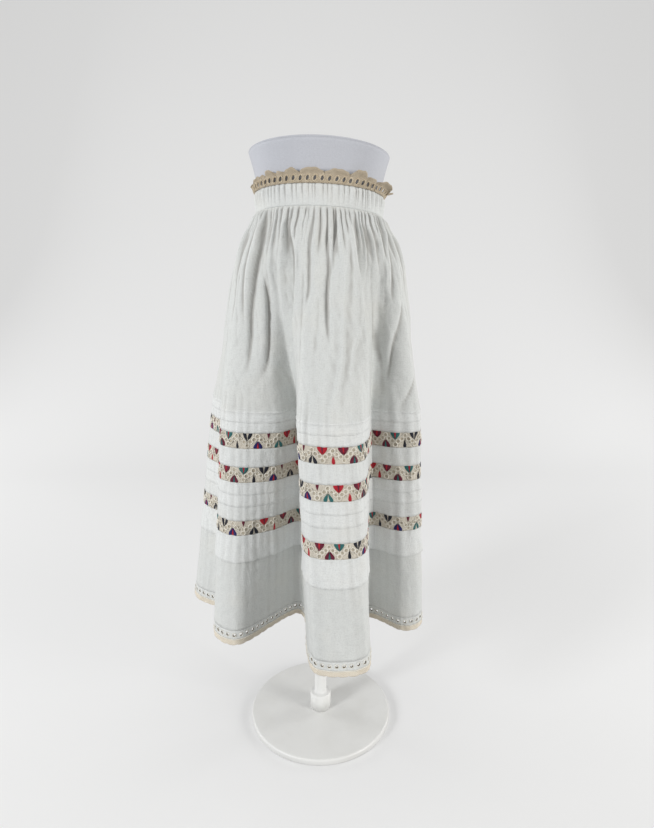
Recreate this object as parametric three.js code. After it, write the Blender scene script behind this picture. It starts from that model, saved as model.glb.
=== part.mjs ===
// A long gathered cotton skirt on a jersey-covered display form.
// Millimetres, +Z up, the front faces -Y, and the origin is on the floor under the waist's centre.
// The cloth is one surface in two directions: a share of the way round, counterclockwise seen from
// above, and a drop, the distance below the waist seam. Every sewn piece is a stretch of that
// surface with a thickness, so the pieces meet along their seams.
import * as THREE from 'three';

// Driving sizes
const BAND_TOP = 1080;
const CASING_HEIGHT = 35;
const SEAM_GAP = 0.3;
const CLOTH = 2;
const WAIST = { halfWidth: 116, halfDepth: 90 };
const CASING_WALL = 4;
const WAIST_TILT = { back: 0.09, right: 0.035, from: -90 };
const SEAM_HEIGHT = BAND_TOP - CASING_HEIGHT;

// Drops below the waist seam of each sewn line
const DROP = {
  firstTuck: 350,
  secondTuck: 369,
  bandOneTop: 387,
  bandOneEnd: 416,
  bandTwoTop: 449,
  bandTwoEnd: 478,
  thirdTuck: 500,
  fourthTuck: 522,
  bandThreeTop: 547,
  bandThreeEnd: 575,
  deepTuck: 624,
  hemTierEnd: 752,
  eyeletMiddle: 759.5,
  beadingEnd: 768,
  hem: 779,
};
const TUCK_DEPTH = 19;
const TUCK_RAISE = 1.4;

// The hanging folds, round from the left side. A crest is the fold's farthest point, with its
// width and how far its shoulders lie behind it, and a valley is the inner turn that follows.
// Each is given on the ring of the first tuck and on the hem.
const FOLDS = [
  {
    name: 'far left',
    tuck: { crestX: -206, crestY: 118, width: 56, round: 10, valleyX: -186, valleyY: -14 },
    hem: { crestX: -272, crestY: 42, width: 60, round: 14, valleyX: -176, valleyY: -54 },
  },
  {
    name: 'left front',
    tuck: { crestX: -130, crestY: -101, width: 104, round: 14, valleyX: -38, valleyY: -68 },
    hem: { crestX: -185, crestY: -138, width: 68, round: 12, valleyX: -42, valleyY: -46 },
  },
  {
    name: 'centre front',
    tuck: { crestX: 17, crestY: -197, width: 98, round: 18, valleyX: 91, valleyY: -98 },
    hem: { crestX: 39, crestY: -240, width: 90, round: 13, valleyX: 97, valleyY: -62 },
  },
  {
    name: 'right front',
    tuck: { crestX: 134, crestY: -99, width: 84, round: 14, valleyX: 186, valleyY: 0 },
    hem: { crestX: 188, crestY: -98, width: 54, round: 12, valleyX: 172, valleyY: 0 },
  },
  {
    name: 'right back',
    tuck: { crestX: 195, crestY: 64, width: 56, round: 8, valleyX: 152, valleyY: 108 },
    hem: { crestX: 217, crestY: 72, width: 58, round: 12, valleyX: 144, valleyY: 90 },
  },
  {
    name: 'back right',
    tuck: { crestX: 98, crestY: 154, width: 64, round: 8, valleyX: 46, valleyY: 142 },
    hem: { crestX: 132, crestY: 186, width: 66, round: 12, valleyX: 56, valleyY: 126 },
  },
  {
    name: 'centre back',
    tuck: { crestX: -10, crestY: 172, width: 72, round: 8, valleyX: -64, valleyY: 146 },
    hem: { crestX: -4, crestY: 208, width: 76, round: 12, valleyX: -62, valleyY: 128 },
  },
  {
    name: 'back left',
    tuck: { crestX: -116, crestY: 166, width: 66, round: 8, valleyX: -166, valleyY: 138 },
    hem: { crestX: -138, crestY: 196, width: 68, round: 12, valleyX: -170, valleyY: 114 },
  },
];
const CENTRE_FOLD = 2;
const CENTRE_FOLD_ANGLE = 279;

// Between the seam and the first tuck the cloth swells over the hips, then hangs straight.
// The share is how much of the way from the waist's oval to the tuck's oval it has gone.
const HIP_OVAL = { halfWidth: 198, halfDepth: 142, middleX: -6 };
const HIP_SWELL = [
  { drop: 0, share: 0 },
  { drop: 18, share: 0.06 },
  { drop: 40, share: 0.21 },
  { drop: 75, share: 0.385 },
  { drop: 105, share: 0.49 },
  { drop: 158, share: 0.61 },
  { drop: 252, share: 0.8 },
  { drop: 350, share: 1 },
];
const FOLD_ONSET = 1.35;

// Gathers under the seam, and the longer drag folds that they run into
const GATHERS = { count: 48, height: 4, gone: 110 };
const DRAG_FOLDS = { count: 16, height: 3.4, fullest: 90, gone: 330 };
const RIBS = { count: 80, height: 1.3 };

// Lace ruffle above the casing
const RUFFLE = { height: 23, wall: 1.6, cells: 60, waves: 20, wave: 4.5, flare: 5, lift: 1.6 };
const RUFFLE_LOOP = { middle: 8.5, halfHeight: 4.2, halfWidth: 2.6 };
const RUFFLE_BORDER = 16;

// Eyelets, one in each cell of the beading
const EYELETS = { frontCells: 82, backCells: 78, halfWidth: 3, halfHeight: 3 };

// Columns round the skirt in each piece
const COLUMNS = { tier: 96, band: 72, hemTier: 80, edging: 80 };

// The display form: rows of its outline by their drop below the waist seam, with the share of
// the waist's dip that each row takes
const FORM_ROWS = [
  { drop: -104, halfWidth: 126, halfDepth: 98, dip: 1 },
  { drop: -80, halfWidth: 119, halfDepth: 92, dip: 1 },
  { drop: -58, halfWidth: 114.5, halfDepth: 88.5, dip: 1 },
  { drop: -35, halfWidth: 113.5, halfDepth: 87.5, dip: 1 },
  { drop: 0, halfWidth: 113.5, halfDepth: 87.5, dip: 1 },
  { drop: 35, halfWidth: 120, halfDepth: 89, dip: 0.9 },
  { drop: 75, halfWidth: 131, halfDepth: 89, dip: 0.7 },
  { drop: 120, halfWidth: 138, halfDepth: 87, dip: 0.4 },
  { drop: 160, halfWidth: 136, halfDepth: 82, dip: 0.2 },
  { drop: 195, halfWidth: 118, halfDepth: 70, dip: 0 },
  { drop: 212, halfWidth: 80, halfDepth: 48, dip: 0 },
];
const FORM_SIDES = 28;
const FORM_CAP = { height: 12, shrink: 0.82 };
const POLE = { radius: 12.5 };
const BASE = { radius: 150, height: 14, edge: 4, sides: 36 };
const SOCKET = { radius: 22, height: 34, sides: 16 };

// Plan curves of the two rings
const STEPS_PER_POINT = 40;
const POINTS_PER_FOLD = 4;

function foldPoints(ring) {
  const points = [];
  FOLDS.forEach((fold, index) => {
    const before = FOLDS[(index + FOLDS.length - 1) % FOLDS.length][ring];
    const here = fold[ring];
    const crest = new THREE.Vector3(here.crestX, here.crestY, 0);
    const valley = new THREE.Vector3(here.valleyX, here.valleyY, 0);
    const root = new THREE.Vector3(before.valleyX, before.valleyY, 0).lerp(valley, 0.5);
    const outward = crest.clone().sub(root).normalize();
    const along = new THREE.Vector3(-outward.y, outward.x, 0);
    const shoulder = (side) => crest.clone()
      .addScaledVector(along, side * here.width / 2)
      .addScaledVector(outward, -here.round);
    points.push(shoulder(-1), crest, shoulder(1), valley);
  });
  return points;
}

function planCurve(ring) {
  const points = foldPoints(ring);
  const curve = new THREE.CatmullRomCurve3(points, true, 'centripetal');
  curve.arcLengthDivisions = points.length * STEPS_PER_POINT;
  const lengths = curve.getLengths();
  const total = lengths[lengths.length - 1];
  const mark = (index) => lengths[(index * POINTS_PER_FOLD + POINTS_PER_FOLD - 1) * STEPS_PER_POINT];
  const marks = FOLDS.map((fold, index) => mark(index));
  marks.unshift(marks[marks.length - 1] - total);
  const crest = lengths[(CENTRE_FOLD * POINTS_PER_FOLD + 1) * STEPS_PER_POINT];
  return { curve, total, marks, crest };
}

const hemRing = planCurve('hem');
const tuckRing = planCurve('tuck');

function ringPoint(ring, length) {
  return ring.curve.getPointAt(THREE.MathUtils.euclideanModulo(length / ring.total, 1));
}

function interpolate(value, from, to) {
  let index = 1;
  while (index < from.length - 1 && value > from[index]) index += 1;
  const share = (value - from[index - 1]) / (from[index] - from[index - 1]);
  return THREE.MathUtils.lerp(to[index - 1], to[index], THREE.MathUtils.clamp(share, 0, 1));
}

// Share of the way round where the waist has a given angle, in degrees from +X
const crestShare = (hemRing.crest - hemRing.marks[0]) / hemRing.total;
const START_ANGLE = CENTRE_FOLD_ANGLE - 360 * crestShare;
const shareAt = (angle) => (angle - START_ANGLE) / 360;
const LEFT_SIDE = shareAt(180);
const RIGHT_SIDE = shareAt(360);

function oval(shape, angle) {
  const x = (shape.middleX ?? 0) + shape.halfWidth * Math.cos(angle);
  return new THREE.Vector3(x, shape.halfDepth * Math.sin(angle), 0);
}

const swellDrops = HIP_SWELL.map((row) => row.drop);
const swellShares = HIP_SWELL.map((row) => row.share);

// The smooth surface before gathers, in plan
function planPoint(share, drop) {
  const turn = THREE.MathUtils.euclideanModulo(share, 1);
  const angle = THREE.MathUtils.degToRad(START_ANGLE + 360 * turn);
  const hemLength = hemRing.marks[0] + turn * hemRing.total;
  const onTuck = ringPoint(tuckRing, interpolate(hemLength, hemRing.marks, tuckRing.marks));
  if (drop >= DROP.firstTuck) {
    const onHem = ringPoint(hemRing, hemLength);
    return onTuck.lerp(onHem, (drop - DROP.firstTuck) / (DROP.hem - DROP.firstTuck));
  }
  const waist = oval(WAIST, angle);
  const hips = oval(HIP_OVAL, angle);
  const folded = onTuck.sub(hips).multiplyScalar((Math.max(drop, 0) / DROP.firstTuck) ** FOLD_ONSET);
  return waist.lerp(hips, interpolate(drop, swellDrops, swellShares)).add(folded);
}

const SHARE_STEP = 0.0004;

function outwardNormal(share, drop) {
  const ahead = planPoint(share + SHARE_STEP, drop);
  const along = ahead.sub(planPoint(share - SHARE_STEP, drop)).normalize();
  return new THREE.Vector3(along.y, -along.x, 0);
}

// The waist dips to the back and the right, and the dip is gone at the first tuck
function heightAt(point, drop, share) {
  const dip = WAIST_TILT.back * (point.y - WAIST_TILT.from) + WAIST_TILT.right * point.x;
  return SEAM_HEIGHT - drop - dip * share;
}

function surfacePoint(share, drop, outward) {
  const point = planPoint(share, drop).addScaledVector(outwardNormal(share, drop), outward);
  point.z = heightAt(point, drop, THREE.MathUtils.clamp(1 - drop / DROP.firstTuck, 0, 1));
  return point;
}

// Uneven strength from 0.4 to 1, for gathers that aren't all alike
function uneven(share, beats) {
  const turn = 2 * Math.PI * share;
  return 0.7 + 0.3 * Math.sin(beats * turn + 1) * Math.cos((beats + 4) * turn);
}

function gatherHeight(share, drop) {
  const turn = 2 * Math.PI * (share - LEFT_SIDE);
  const gatherFade = THREE.MathUtils.clamp(1 - drop / GATHERS.gone, 0, 1);
  const dragRise = THREE.MathUtils.smoothstep(drop, 0, DRAG_FOLDS.fullest);
  const dragFade = 1 - THREE.MathUtils.smoothstep(drop, DRAG_FOLDS.fullest, DRAG_FOLDS.gone);
  const crest = 0.5 + 0.5 * Math.cos(GATHERS.count * turn);
  const gather = GATHERS.height * gatherFade * uneven(share, 7) * crest;
  const drag = DRAG_FOLDS.height * dragRise * dragFade * uneven(share, 3) * Math.cos(DRAG_FOLDS.count * turn);
  return gather + drag;
}

// Meshes
function addPiece(name, vertices, faces, colour, roughness, metalness = 0) {
  const geometry = new THREE.BufferGeometry();
  geometry.setAttribute('position', new THREE.Float32BufferAttribute(vertices.flatMap((v) => v.toArray()), 3));
  geometry.setIndex(faces.flat());
  geometry.computeVertexNormals();
  addMesh(name, geometry, colour, roughness, metalness);
}

function addMesh(name, geometry, colour, roughness, metalness = 0) {
  const material = new THREE.MeshStandardMaterial({ color: colour, roughness, metalness });
  const mesh = new THREE.Mesh(geometry, material);
  mesh.name = name;
  skirt.add(mesh);
}

const skirt = new THREE.Group();
const COTTON = { colour: 0xe8ece9, roughness: 0.85 };
const LACE = { colour: 0xd9cfc0, roughness: 0.9 };
const CROCHET = { colour: 0xc4ab88, roughness: 0.92 };
const JERSEY = { colour: 0xb9bec8, roughness: 0.95 };
const STEEL = { colour: 0xd8d8d6, roughness: 0.35 };

// Triangles across the end of a strip, from its outer rows to its inner rows, as profile indices
function stripEnd(outerRows, innerRows) {
  const inner = (index) => outerRows.length + innerRows.length - 1 - index;
  const faces = [];
  let outerIndex = 0;
  let innerIndex = 0;
  while (outerIndex < outerRows.length - 1 || innerIndex < innerRows.length - 1) {
    const outerNext = outerRows[outerIndex + 1]?.drop ?? Infinity;
    const innerNext = innerRows[innerIndex + 1]?.drop ?? Infinity;
    if (outerNext <= innerNext) {
      faces.push([outerIndex, inner(innerIndex), outerIndex + 1]);
      outerIndex += 1;
    } else {
      faces.push([outerIndex, inner(innerIndex), inner(innerIndex + 1)]);
      innerIndex += 1;
    }
  }
  return faces;
}

// A strip of cloth between two shares of the way round. Its outer rows run down and its inner
// rows run back up, each { drop, out }, where out is the distance from the middle surface.
function clothStrip(name, finish, strip) {
  const { from, to, columns, outerRows, innerRows, raise } = strip;
  const ring = to - from === 1;
  const profile = [...outerRows, ...[...innerRows].reverse()];
  const vertices = [];
  const faces = [];
  const columnCount = ring ? columns : columns + 1;
  for (let column = 0; column < columnCount; column += 1) {
    const share = from + (to - from) * column / columns;
    profile.forEach((row) => vertices.push(surfacePoint(share, row.drop, row.out + raise(share, row, column))));
  }
  const at = (column, row) => (column % columnCount) * profile.length + (row % profile.length);
  for (let column = 0; column < columns; column += 1) {
    for (let row = 0; row < profile.length; row += 1) {
      faces.push([at(column, row), at(column, row + 1), at(column + 1, row + 1)]);
      faces.push([at(column, row), at(column + 1, row + 1), at(column + 1, row)]);
    }
  }
  if (!ring) {
    stripEnd(outerRows, innerRows).forEach(([a, b, c]) => {
      faces.push([at(0, a), at(0, b), at(0, c)]);
      faces.push([at(columns, a), at(columns, c), at(columns, b)]);
    });
  }
  addPiece(name, vertices, faces, finish.colour, finish.roughness);
}

// A pierced sheet is triangles over (share, drop) points, with a wall's thickness given to it.
// Every edge that only one triangle has is an edge of the sheet or of a hole, and gets a wall.
function piercedSheet(name, finish, sheet, placeOuter, placeInner) {
  const count = sheet.points.length;
  const vertices = [...sheet.points.map(placeOuter), ...sheet.points.map(placeInner)];
  const faces = [...sheet.faces];
  sheet.faces.forEach(([a, b, c]) => faces.push([a + count, c + count, b + count]));
  const edges = new Set();
  sheet.faces.forEach(([a, b, c]) => [[a, b], [b, c], [c, a]].forEach((edge) => edges.add(edge.join(' '))));
  edges.forEach((edge) => {
    const [a, b] = edge.split(' ').map(Number);
    if (edges.has(`${b} ${a}`)) return;
    faces.push([b, a, a + count]);
    faces.push([b, a + count, b + count]);
  });
  addPiece(name, vertices, faces, finish.colour, finish.roughness);
}

// A row of cells, each with a four-cornered hole, between two drops
function holeCells({ from, to, cells, top, bottom, middle, holeHalfWidth, holeHalfHeight, rowsAbove }) {
  const points = [];
  const faces = [];
  const step = (to - from) / cells;
  const add = (share, drop) => points.push({ share, drop }) - 1;
  const column = (index) => {
    const share = from + step * index;
    return [...rowsAbove, top, bottom].map((drop) => add(share, drop));
  };
  let left = column(0);
  for (let cell = 0; cell < cells; cell += 1) {
    const right = column(cell + 1);
    const centre = from + step * (cell + 0.5);
    const halfShare = holeHalfWidth(centre);
    const holeTop = add(centre, middle - holeHalfHeight);
    const holeRight = add(centre + halfShare, middle);
    const holeEnd = add(centre, middle + holeHalfHeight);
    const holeLeft = add(centre - halfShare, middle);
    const last = left.length - 1;
    const [topLeft, topRight, endRight, endLeft] = [left[last - 1], right[last - 1], right[last], left[last]];
    faces.push([topLeft, holeTop, topRight], [topRight, holeTop, holeRight]);
    faces.push([topRight, holeRight, endRight], [endRight, holeRight, holeEnd]);
    faces.push([endRight, holeEnd, endLeft], [endLeft, holeEnd, holeLeft]);
    faces.push([endLeft, holeLeft, topLeft], [topLeft, holeLeft, holeTop]);
    for (let row = 0; row < rowsAbove.length; row += 1) {
      faces.push([left[row], left[row + 1], right[row + 1]]);
      faces.push([left[row], right[row + 1], right[row]]);
    }
    left = right;
  }
  return { points, faces };
}

const HALF_GAP = SEAM_GAP / 2;
const HALF_CLOTH = CLOTH / 2;
const flat = () => 0;

// Rows of a plain stretch of cloth
function plainRows(top, end, out) {
  return [{ drop: top + HALF_GAP, out }, { drop: end - HALF_GAP, out }];
}

// Rows of tucks, each a layer that thickens down to its free edge and steps back in there
function tuckRows(edges, depth) {
  return edges.flatMap((edge) => [
    { drop: edge - depth, out: HALF_CLOTH },
    { drop: edge, out: HALF_CLOTH + TUCK_RAISE },
  ]);
}

// Halves of the skirt, with a side seam's gap at each end
const SIDE_GAP = { waist: 0.0003, hem: 0.0001 };
const frontHalf = (gap) => ({ from: LEFT_SIDE + gap, to: RIGHT_SIDE - gap });
const backHalf = (gap) => ({ from: RIGHT_SIDE + gap, to: LEFT_SIDE + 1 - gap });
const WHOLE_RING = { from: LEFT_SIDE, to: LEFT_SIDE + 1 };

function bothHalves(name, gap, make) {
  make(`${name}_front`, frontHalf(gap));
  make(`${name}_back`, backHalf(gap));
}

// Waist ruffle, crocheted lace in two halves
const LACE_FOOT = -CASING_HEIGHT - SEAM_GAP;

function rufflePlace(outward) {
  return ({ share, drop }) => {
    const height = (LACE_FOOT - drop) / RUFFLE.height;
    const wave = Math.cos(2 * Math.PI * RUFFLE.waves * (share - LEFT_SIDE)) * uneven(share, 5);
    const point = surfacePoint(share, drop, outward + height * (RUFFLE.flare + RUFFLE.wave * wave));
    point.z += RUFFLE.lift * Math.max(height, 0) ** 2 * wave;
    return point;
  };
}

function ruffleHalf(name, half) {
  const waistRound = Math.PI * (WAIST.halfWidth + WAIST.halfDepth);
  const sheet = holeCells({
    ...half,
    cells: RUFFLE.cells / 2,
    top: LACE_FOOT - RUFFLE_BORDER,
    bottom: LACE_FOOT,
    middle: LACE_FOOT - RUFFLE_LOOP.middle,
    holeHalfWidth: () => RUFFLE_LOOP.halfWidth / waistRound,
    holeHalfHeight: RUFFLE_LOOP.halfHeight,
    rowsAbove: [LACE_FOOT - RUFFLE.height],
  });
  piercedSheet(name, CROCHET, sheet, rufflePlace(RUFFLE.wall / 2), rufflePlace(-RUFFLE.wall / 2));
}

bothHalves('waist_ruffle', SIDE_GAP.waist, ruffleHalf);

// Casing with its elastic ribs raised outside over a plain inside
clothStrip('waist_casing', COTTON, {
  ...WHOLE_RING,
  columns: RIBS.count * 2,
  outerRows: plainRows(-CASING_HEIGHT, 0, CASING_WALL / 2),
  innerRows: plainRows(-CASING_HEIGHT, 0, -CASING_WALL / 2),
  raise: (share, row, column) => (row.out > 0 && column % 2 ? -RIBS.height * uneven(share, 9) : 0),
});

// Gathered upper tier, two panels, with two tucks above its lower seam
const tierOuter = [HALF_GAP, 18, 40, 75, 130, 215].map((drop) => ({ drop, out: HALF_CLOTH }));
const tierInner = [HALF_GAP, 18, 75, 130, 215, DROP.firstTuck].map((drop) => ({ drop, out: -HALF_CLOTH }));
const gathered = (share, row) => gatherHeight(share, row.drop);

function upperPanel(name, half) {
  clothStrip(name, COTTON, {
    ...half,
    columns: COLUMNS.tier / 2,
    outerRows: [
      ...tierOuter,
      ...tuckRows([DROP.firstTuck, DROP.secondTuck], TUCK_DEPTH - SEAM_GAP),
      { drop: DROP.secondTuck, out: HALF_CLOTH },
      { drop: DROP.bandOneTop - HALF_GAP, out: HALF_CLOTH },
    ],
    innerRows: [...tierInner, { drop: DROP.bandOneTop - HALF_GAP, out: -HALF_CLOTH }],
    raise: gathered,
  });
}

bothHalves('upper_panel', SIDE_GAP.waist, upperPanel);

// Three inserted bands of lace with stitched motifs, and the cotton strips between them
function plainBand(name, finish, top, end) {
  bothHalves(name, SIDE_GAP.hem, (halfName, half) => clothStrip(halfName, finish, {
    ...half,
    columns: COLUMNS.band / 2,
    outerRows: plainRows(top, end, HALF_CLOTH),
    innerRows: plainRows(top, end, -HALF_CLOTH),
    raise: flat,
  }));
}

plainBand('lace_band_one', LACE, DROP.bandOneTop, DROP.bandOneEnd);
plainBand('plain_strip', COTTON, DROP.bandOneEnd, DROP.bandTwoTop);
plainBand('lace_band_two', LACE, DROP.bandTwoTop, DROP.bandTwoEnd);
plainBand('lace_band_three', LACE, DROP.bandThreeTop, DROP.bandThreeEnd);

bothHalves('tucked_strip', SIDE_GAP.hem, (name, half) => clothStrip(name, COTTON, {
  ...half,
  columns: COLUMNS.band / 2,
  outerRows: [
    { drop: DROP.bandTwoEnd + HALF_GAP, out: HALF_CLOTH },
    { drop: DROP.thirdTuck, out: HALF_CLOTH + TUCK_RAISE },
    { drop: DROP.thirdTuck + SEAM_GAP, out: HALF_CLOTH },
    { drop: DROP.fourthTuck, out: HALF_CLOTH + TUCK_RAISE },
    { drop: DROP.fourthTuck + SEAM_GAP, out: HALF_CLOTH },
    { drop: DROP.bandThreeTop - HALF_GAP, out: HALF_CLOTH },
  ],
  innerRows: plainRows(DROP.bandTwoEnd, DROP.bandThreeTop, -HALF_CLOTH),
  raise: flat,
}));

// Lower tier, two panels, with one deep tuck under the third band
bothHalves('lower_panel', SIDE_GAP.hem, (name, half) => clothStrip(name, COTTON, {
  ...half,
  columns: COLUMNS.hemTier / 2,
  outerRows: [
    { drop: DROP.bandThreeEnd + HALF_GAP, out: HALF_CLOTH },
    { drop: DROP.deepTuck, out: HALF_CLOTH + TUCK_RAISE },
    { drop: DROP.deepTuck + SEAM_GAP, out: HALF_CLOTH },
    { drop: DROP.hemTierEnd - HALF_GAP, out: HALF_CLOTH },
  ],
  innerRows: plainRows(DROP.bandThreeEnd, DROP.hemTierEnd, -HALF_CLOTH),
  raise: flat,
}));

// Eyelet beading above the hem's edging
const place = (out) => ({ share, drop }) => surfacePoint(share, drop, out);

function beadingHalf(name, half, cells) {
  const sheet = holeCells({
    ...half,
    cells,
    top: DROP.hemTierEnd + HALF_GAP,
    bottom: DROP.beadingEnd - HALF_GAP,
    middle: DROP.eyeletMiddle,
    holeHalfWidth: () => EYELETS.halfWidth / hemRing.total,
    holeHalfHeight: EYELETS.halfHeight,
    rowsAbove: [],
  });
  piercedSheet(name, COTTON, sheet, place(HALF_CLOTH), place(-HALF_CLOTH));
}

beadingHalf('eyelet_beading_front', frontHalf(SIDE_GAP.hem), EYELETS.frontCells);
beadingHalf('eyelet_beading_back', backHalf(SIDE_GAP.hem), EYELETS.backCells);

// Crocheted edging at the hem
bothHalves('crochet_edging', SIDE_GAP.hem, (name, half) => clothStrip(name, CROCHET, {
  ...half,
  columns: COLUMNS.edging / 2,
  outerRows: plainRows(DROP.beadingEnd, DROP.hem, HALF_CLOTH),
  innerRows: plainRows(DROP.beadingEnd, DROP.hem, -HALF_CLOTH),
  raise: flat,
}));

// Display form: an oval torso from the waist to the hips, its cap, a pole and a round base
function ovalLoft(name, finish, rows) {
  const vertices = [];
  const faces = [];
  rows.forEach((row) => {
    for (let side = 0; side < FORM_SIDES; side += 1) {
      const point = oval(row, 2 * Math.PI * side / FORM_SIDES);
      point.z = heightAt(point, row.drop, row.dip);
      vertices.push(point);
    }
  });
  const at = (row, side) => row * FORM_SIDES + (side % FORM_SIDES);
  for (let row = 0; row < rows.length - 1; row += 1) {
    for (let side = 0; side < FORM_SIDES; side += 1) {
      faces.push([at(row, side), at(row + 1, side), at(row + 1, side + 1)]);
      faces.push([at(row, side), at(row + 1, side + 1), at(row, side + 1)]);
    }
  }
  const last = rows.length - 1;
  for (let side = 1; side < FORM_SIDES - 1; side += 1) {
    faces.push([at(0, 0), at(0, side), at(0, side + 1)]);
    faces.push([at(last, 0), at(last, side + 1), at(last, side)]);
  }
  addPiece(name, vertices, faces, finish.colour, finish.roughness);
}

ovalLoft('form_torso', JERSEY, FORM_ROWS);

const rim = FORM_ROWS[0];
const capRow = (share, rise) => ({
  halfWidth: rim.halfWidth * share,
  halfDepth: rim.halfDepth * share,
  drop: rim.drop - SEAM_GAP - rise,
  dip: rim.dip,
});
ovalLoft('form_cap', JERSEY, [
  capRow(FORM_CAP.shrink ** 4, FORM_CAP.height),
  capRow(FORM_CAP.shrink, FORM_CAP.height * 0.75),
  capRow(1, 0),
]);

function turned(name, finish, profile, sides, bottom, metalness) {
  const points = profile.map(([radius, height]) => new THREE.Vector2(radius, height));
  const geometry = new THREE.LatheGeometry(points, sides);
  geometry.rotateX(Math.PI / 2);
  geometry.translate(0, 0, bottom);
  addMesh(name, geometry, finish.colour, finish.roughness, metalness);
}

const torsoEndHeight = SEAM_HEIGHT - FORM_ROWS[FORM_ROWS.length - 1].drop;
const poleHeight = torsoEndHeight - SEAM_GAP - BASE.height - SEAM_GAP;
turned('form_base', STEEL, [
  [0, 0],
  [BASE.radius - BASE.edge, 0],
  [BASE.radius, BASE.edge],
  [BASE.radius - BASE.edge, BASE.height],
  [0, BASE.height],
], BASE.sides, 0, 0.6);
turned('form_pole', STEEL, [
  [0, 0],
  [SOCKET.radius, 0],
  [SOCKET.radius, SOCKET.height],
  [POLE.radius, SOCKET.height + SOCKET.radius - POLE.radius],
  [POLE.radius, poleHeight],
  [0, poleHeight],
], SOCKET.sides, BASE.height + SEAM_GAP, 0.6);

export default skirt;
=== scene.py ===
# A long gathered white cotton skirt with lace bands, on a jersey display form.
# Sizes are in millimetres until a mesh is made. +Z is up and the front faces -Y.
import math
import bpy
import numpy as np
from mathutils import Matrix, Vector


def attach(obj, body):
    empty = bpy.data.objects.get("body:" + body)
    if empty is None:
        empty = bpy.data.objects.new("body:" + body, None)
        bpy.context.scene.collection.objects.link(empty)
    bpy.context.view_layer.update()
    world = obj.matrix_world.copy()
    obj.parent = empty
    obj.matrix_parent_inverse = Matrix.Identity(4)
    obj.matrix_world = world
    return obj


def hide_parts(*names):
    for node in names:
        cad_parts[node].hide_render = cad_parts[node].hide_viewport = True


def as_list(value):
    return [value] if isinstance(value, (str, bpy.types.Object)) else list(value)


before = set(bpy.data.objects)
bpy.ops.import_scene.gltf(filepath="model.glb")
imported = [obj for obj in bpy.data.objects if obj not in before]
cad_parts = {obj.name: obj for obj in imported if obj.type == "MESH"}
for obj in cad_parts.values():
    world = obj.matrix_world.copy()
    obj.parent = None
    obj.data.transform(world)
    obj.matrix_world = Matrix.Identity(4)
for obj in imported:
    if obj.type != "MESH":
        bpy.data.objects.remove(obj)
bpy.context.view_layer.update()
MM = 0.001
scene = bpy.context.scene

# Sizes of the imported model
SEAM_HEIGHT = 1045.0
CASING_HEIGHT = 35.0
SEAM_GAP = 0.3
WAIST = {"half_width": 116.0, "half_depth": 90.0, "middle_x": 0.0}
HIP_OVAL = {"half_width": 198.0, "half_depth": 142.0, "middle_x": -6.0}
WAIST_TILT = {"back": 0.09, "right": 0.035, "start": -90.0}
DROP = {
    "first_tuck": 350.0,
    "second_tuck": 369.0,
    "band_one_top": 387.0,
    "band_one_end": 416.0,
    "band_two_top": 449.0,
    "band_two_end": 478.0,
    "third_tuck": 500.0,
    "fourth_tuck": 522.0,
    "band_three_top": 547.0,
    "band_three_end": 575.0,
    "deep_tuck": 624.0,
    "hem_tier_end": 752.0,
    "eyelet_middle": 759.5,
    "beading_end": 768.0,
    "hem": 779.0,
}

# The hanging folds round from the left side, on the first tuck's ring and on the hem:
# crest x and y, the crest's width, how far its shoulders lie behind, and the x and y of the
# valley that follows
FOLDS = {
    "far left": ((-206, 118, 56, 10, -186, -14), (-272, 42, 60, 14, -176, -54)),
    "left front": ((-130, -101, 104, 14, -38, -68), (-185, -138, 68, 12, -42, -46)),
    "centre front": ((17, -197, 98, 18, 91, -98), (39, -240, 90, 13, 97, -62)),
    "right front": ((134, -99, 84, 14, 186, 0), (188, -98, 54, 12, 172, 0)),
    "right back": ((195, 64, 56, 8, 152, 108), (217, 72, 58, 12, 144, 90)),
    "back right": ((98, 154, 64, 8, 46, 142), (132, 186, 66, 12, 56, 126)),
    "centre back": ((-10, 172, 72, 8, -64, 146), (-4, 208, 76, 12, -62, 128)),
    "back left": ((-116, 166, 66, 8, -166, 138), (-138, 196, 68, 12, -170, 114)),
}
POINTS_PER_FOLD = 4
CENTRE_CREST_POINT = 2 * POINTS_PER_FOLD + 1
CENTRE_FOLD_ANGLE = 279.0
FOLD_ONSET = 1.35
WAIST_ROUND = math.pi * (WAIST["half_width"] + WAIST["half_depth"])
SWELL_DROPS = (0, 18, 40, 75, 105, 158, 252, 350)
SWELL_SHARES = (0, 0.06, 0.21, 0.385, 0.49, 0.61, 0.8, 1)


def fold_points(ring):
    rows = [np.array(fold[ring], float) for fold in FOLDS.values()]
    points = []
    for index, row in enumerate(rows):
        crest, width, behind, valley = row[0:2], row[2], row[3], row[4:6]
        root = (rows[index - 1][4:6] + valley) / 2
        outward = (crest - root) / np.linalg.norm(crest - root)
        along = np.array([-outward[1], outward[0]])
        shoulders = [crest + side * along * width / 2 - outward * behind for side in (-1, 1)]
        points += [shoulders[0], crest, shoulders[1], valley]
    return np.array(points)


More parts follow.
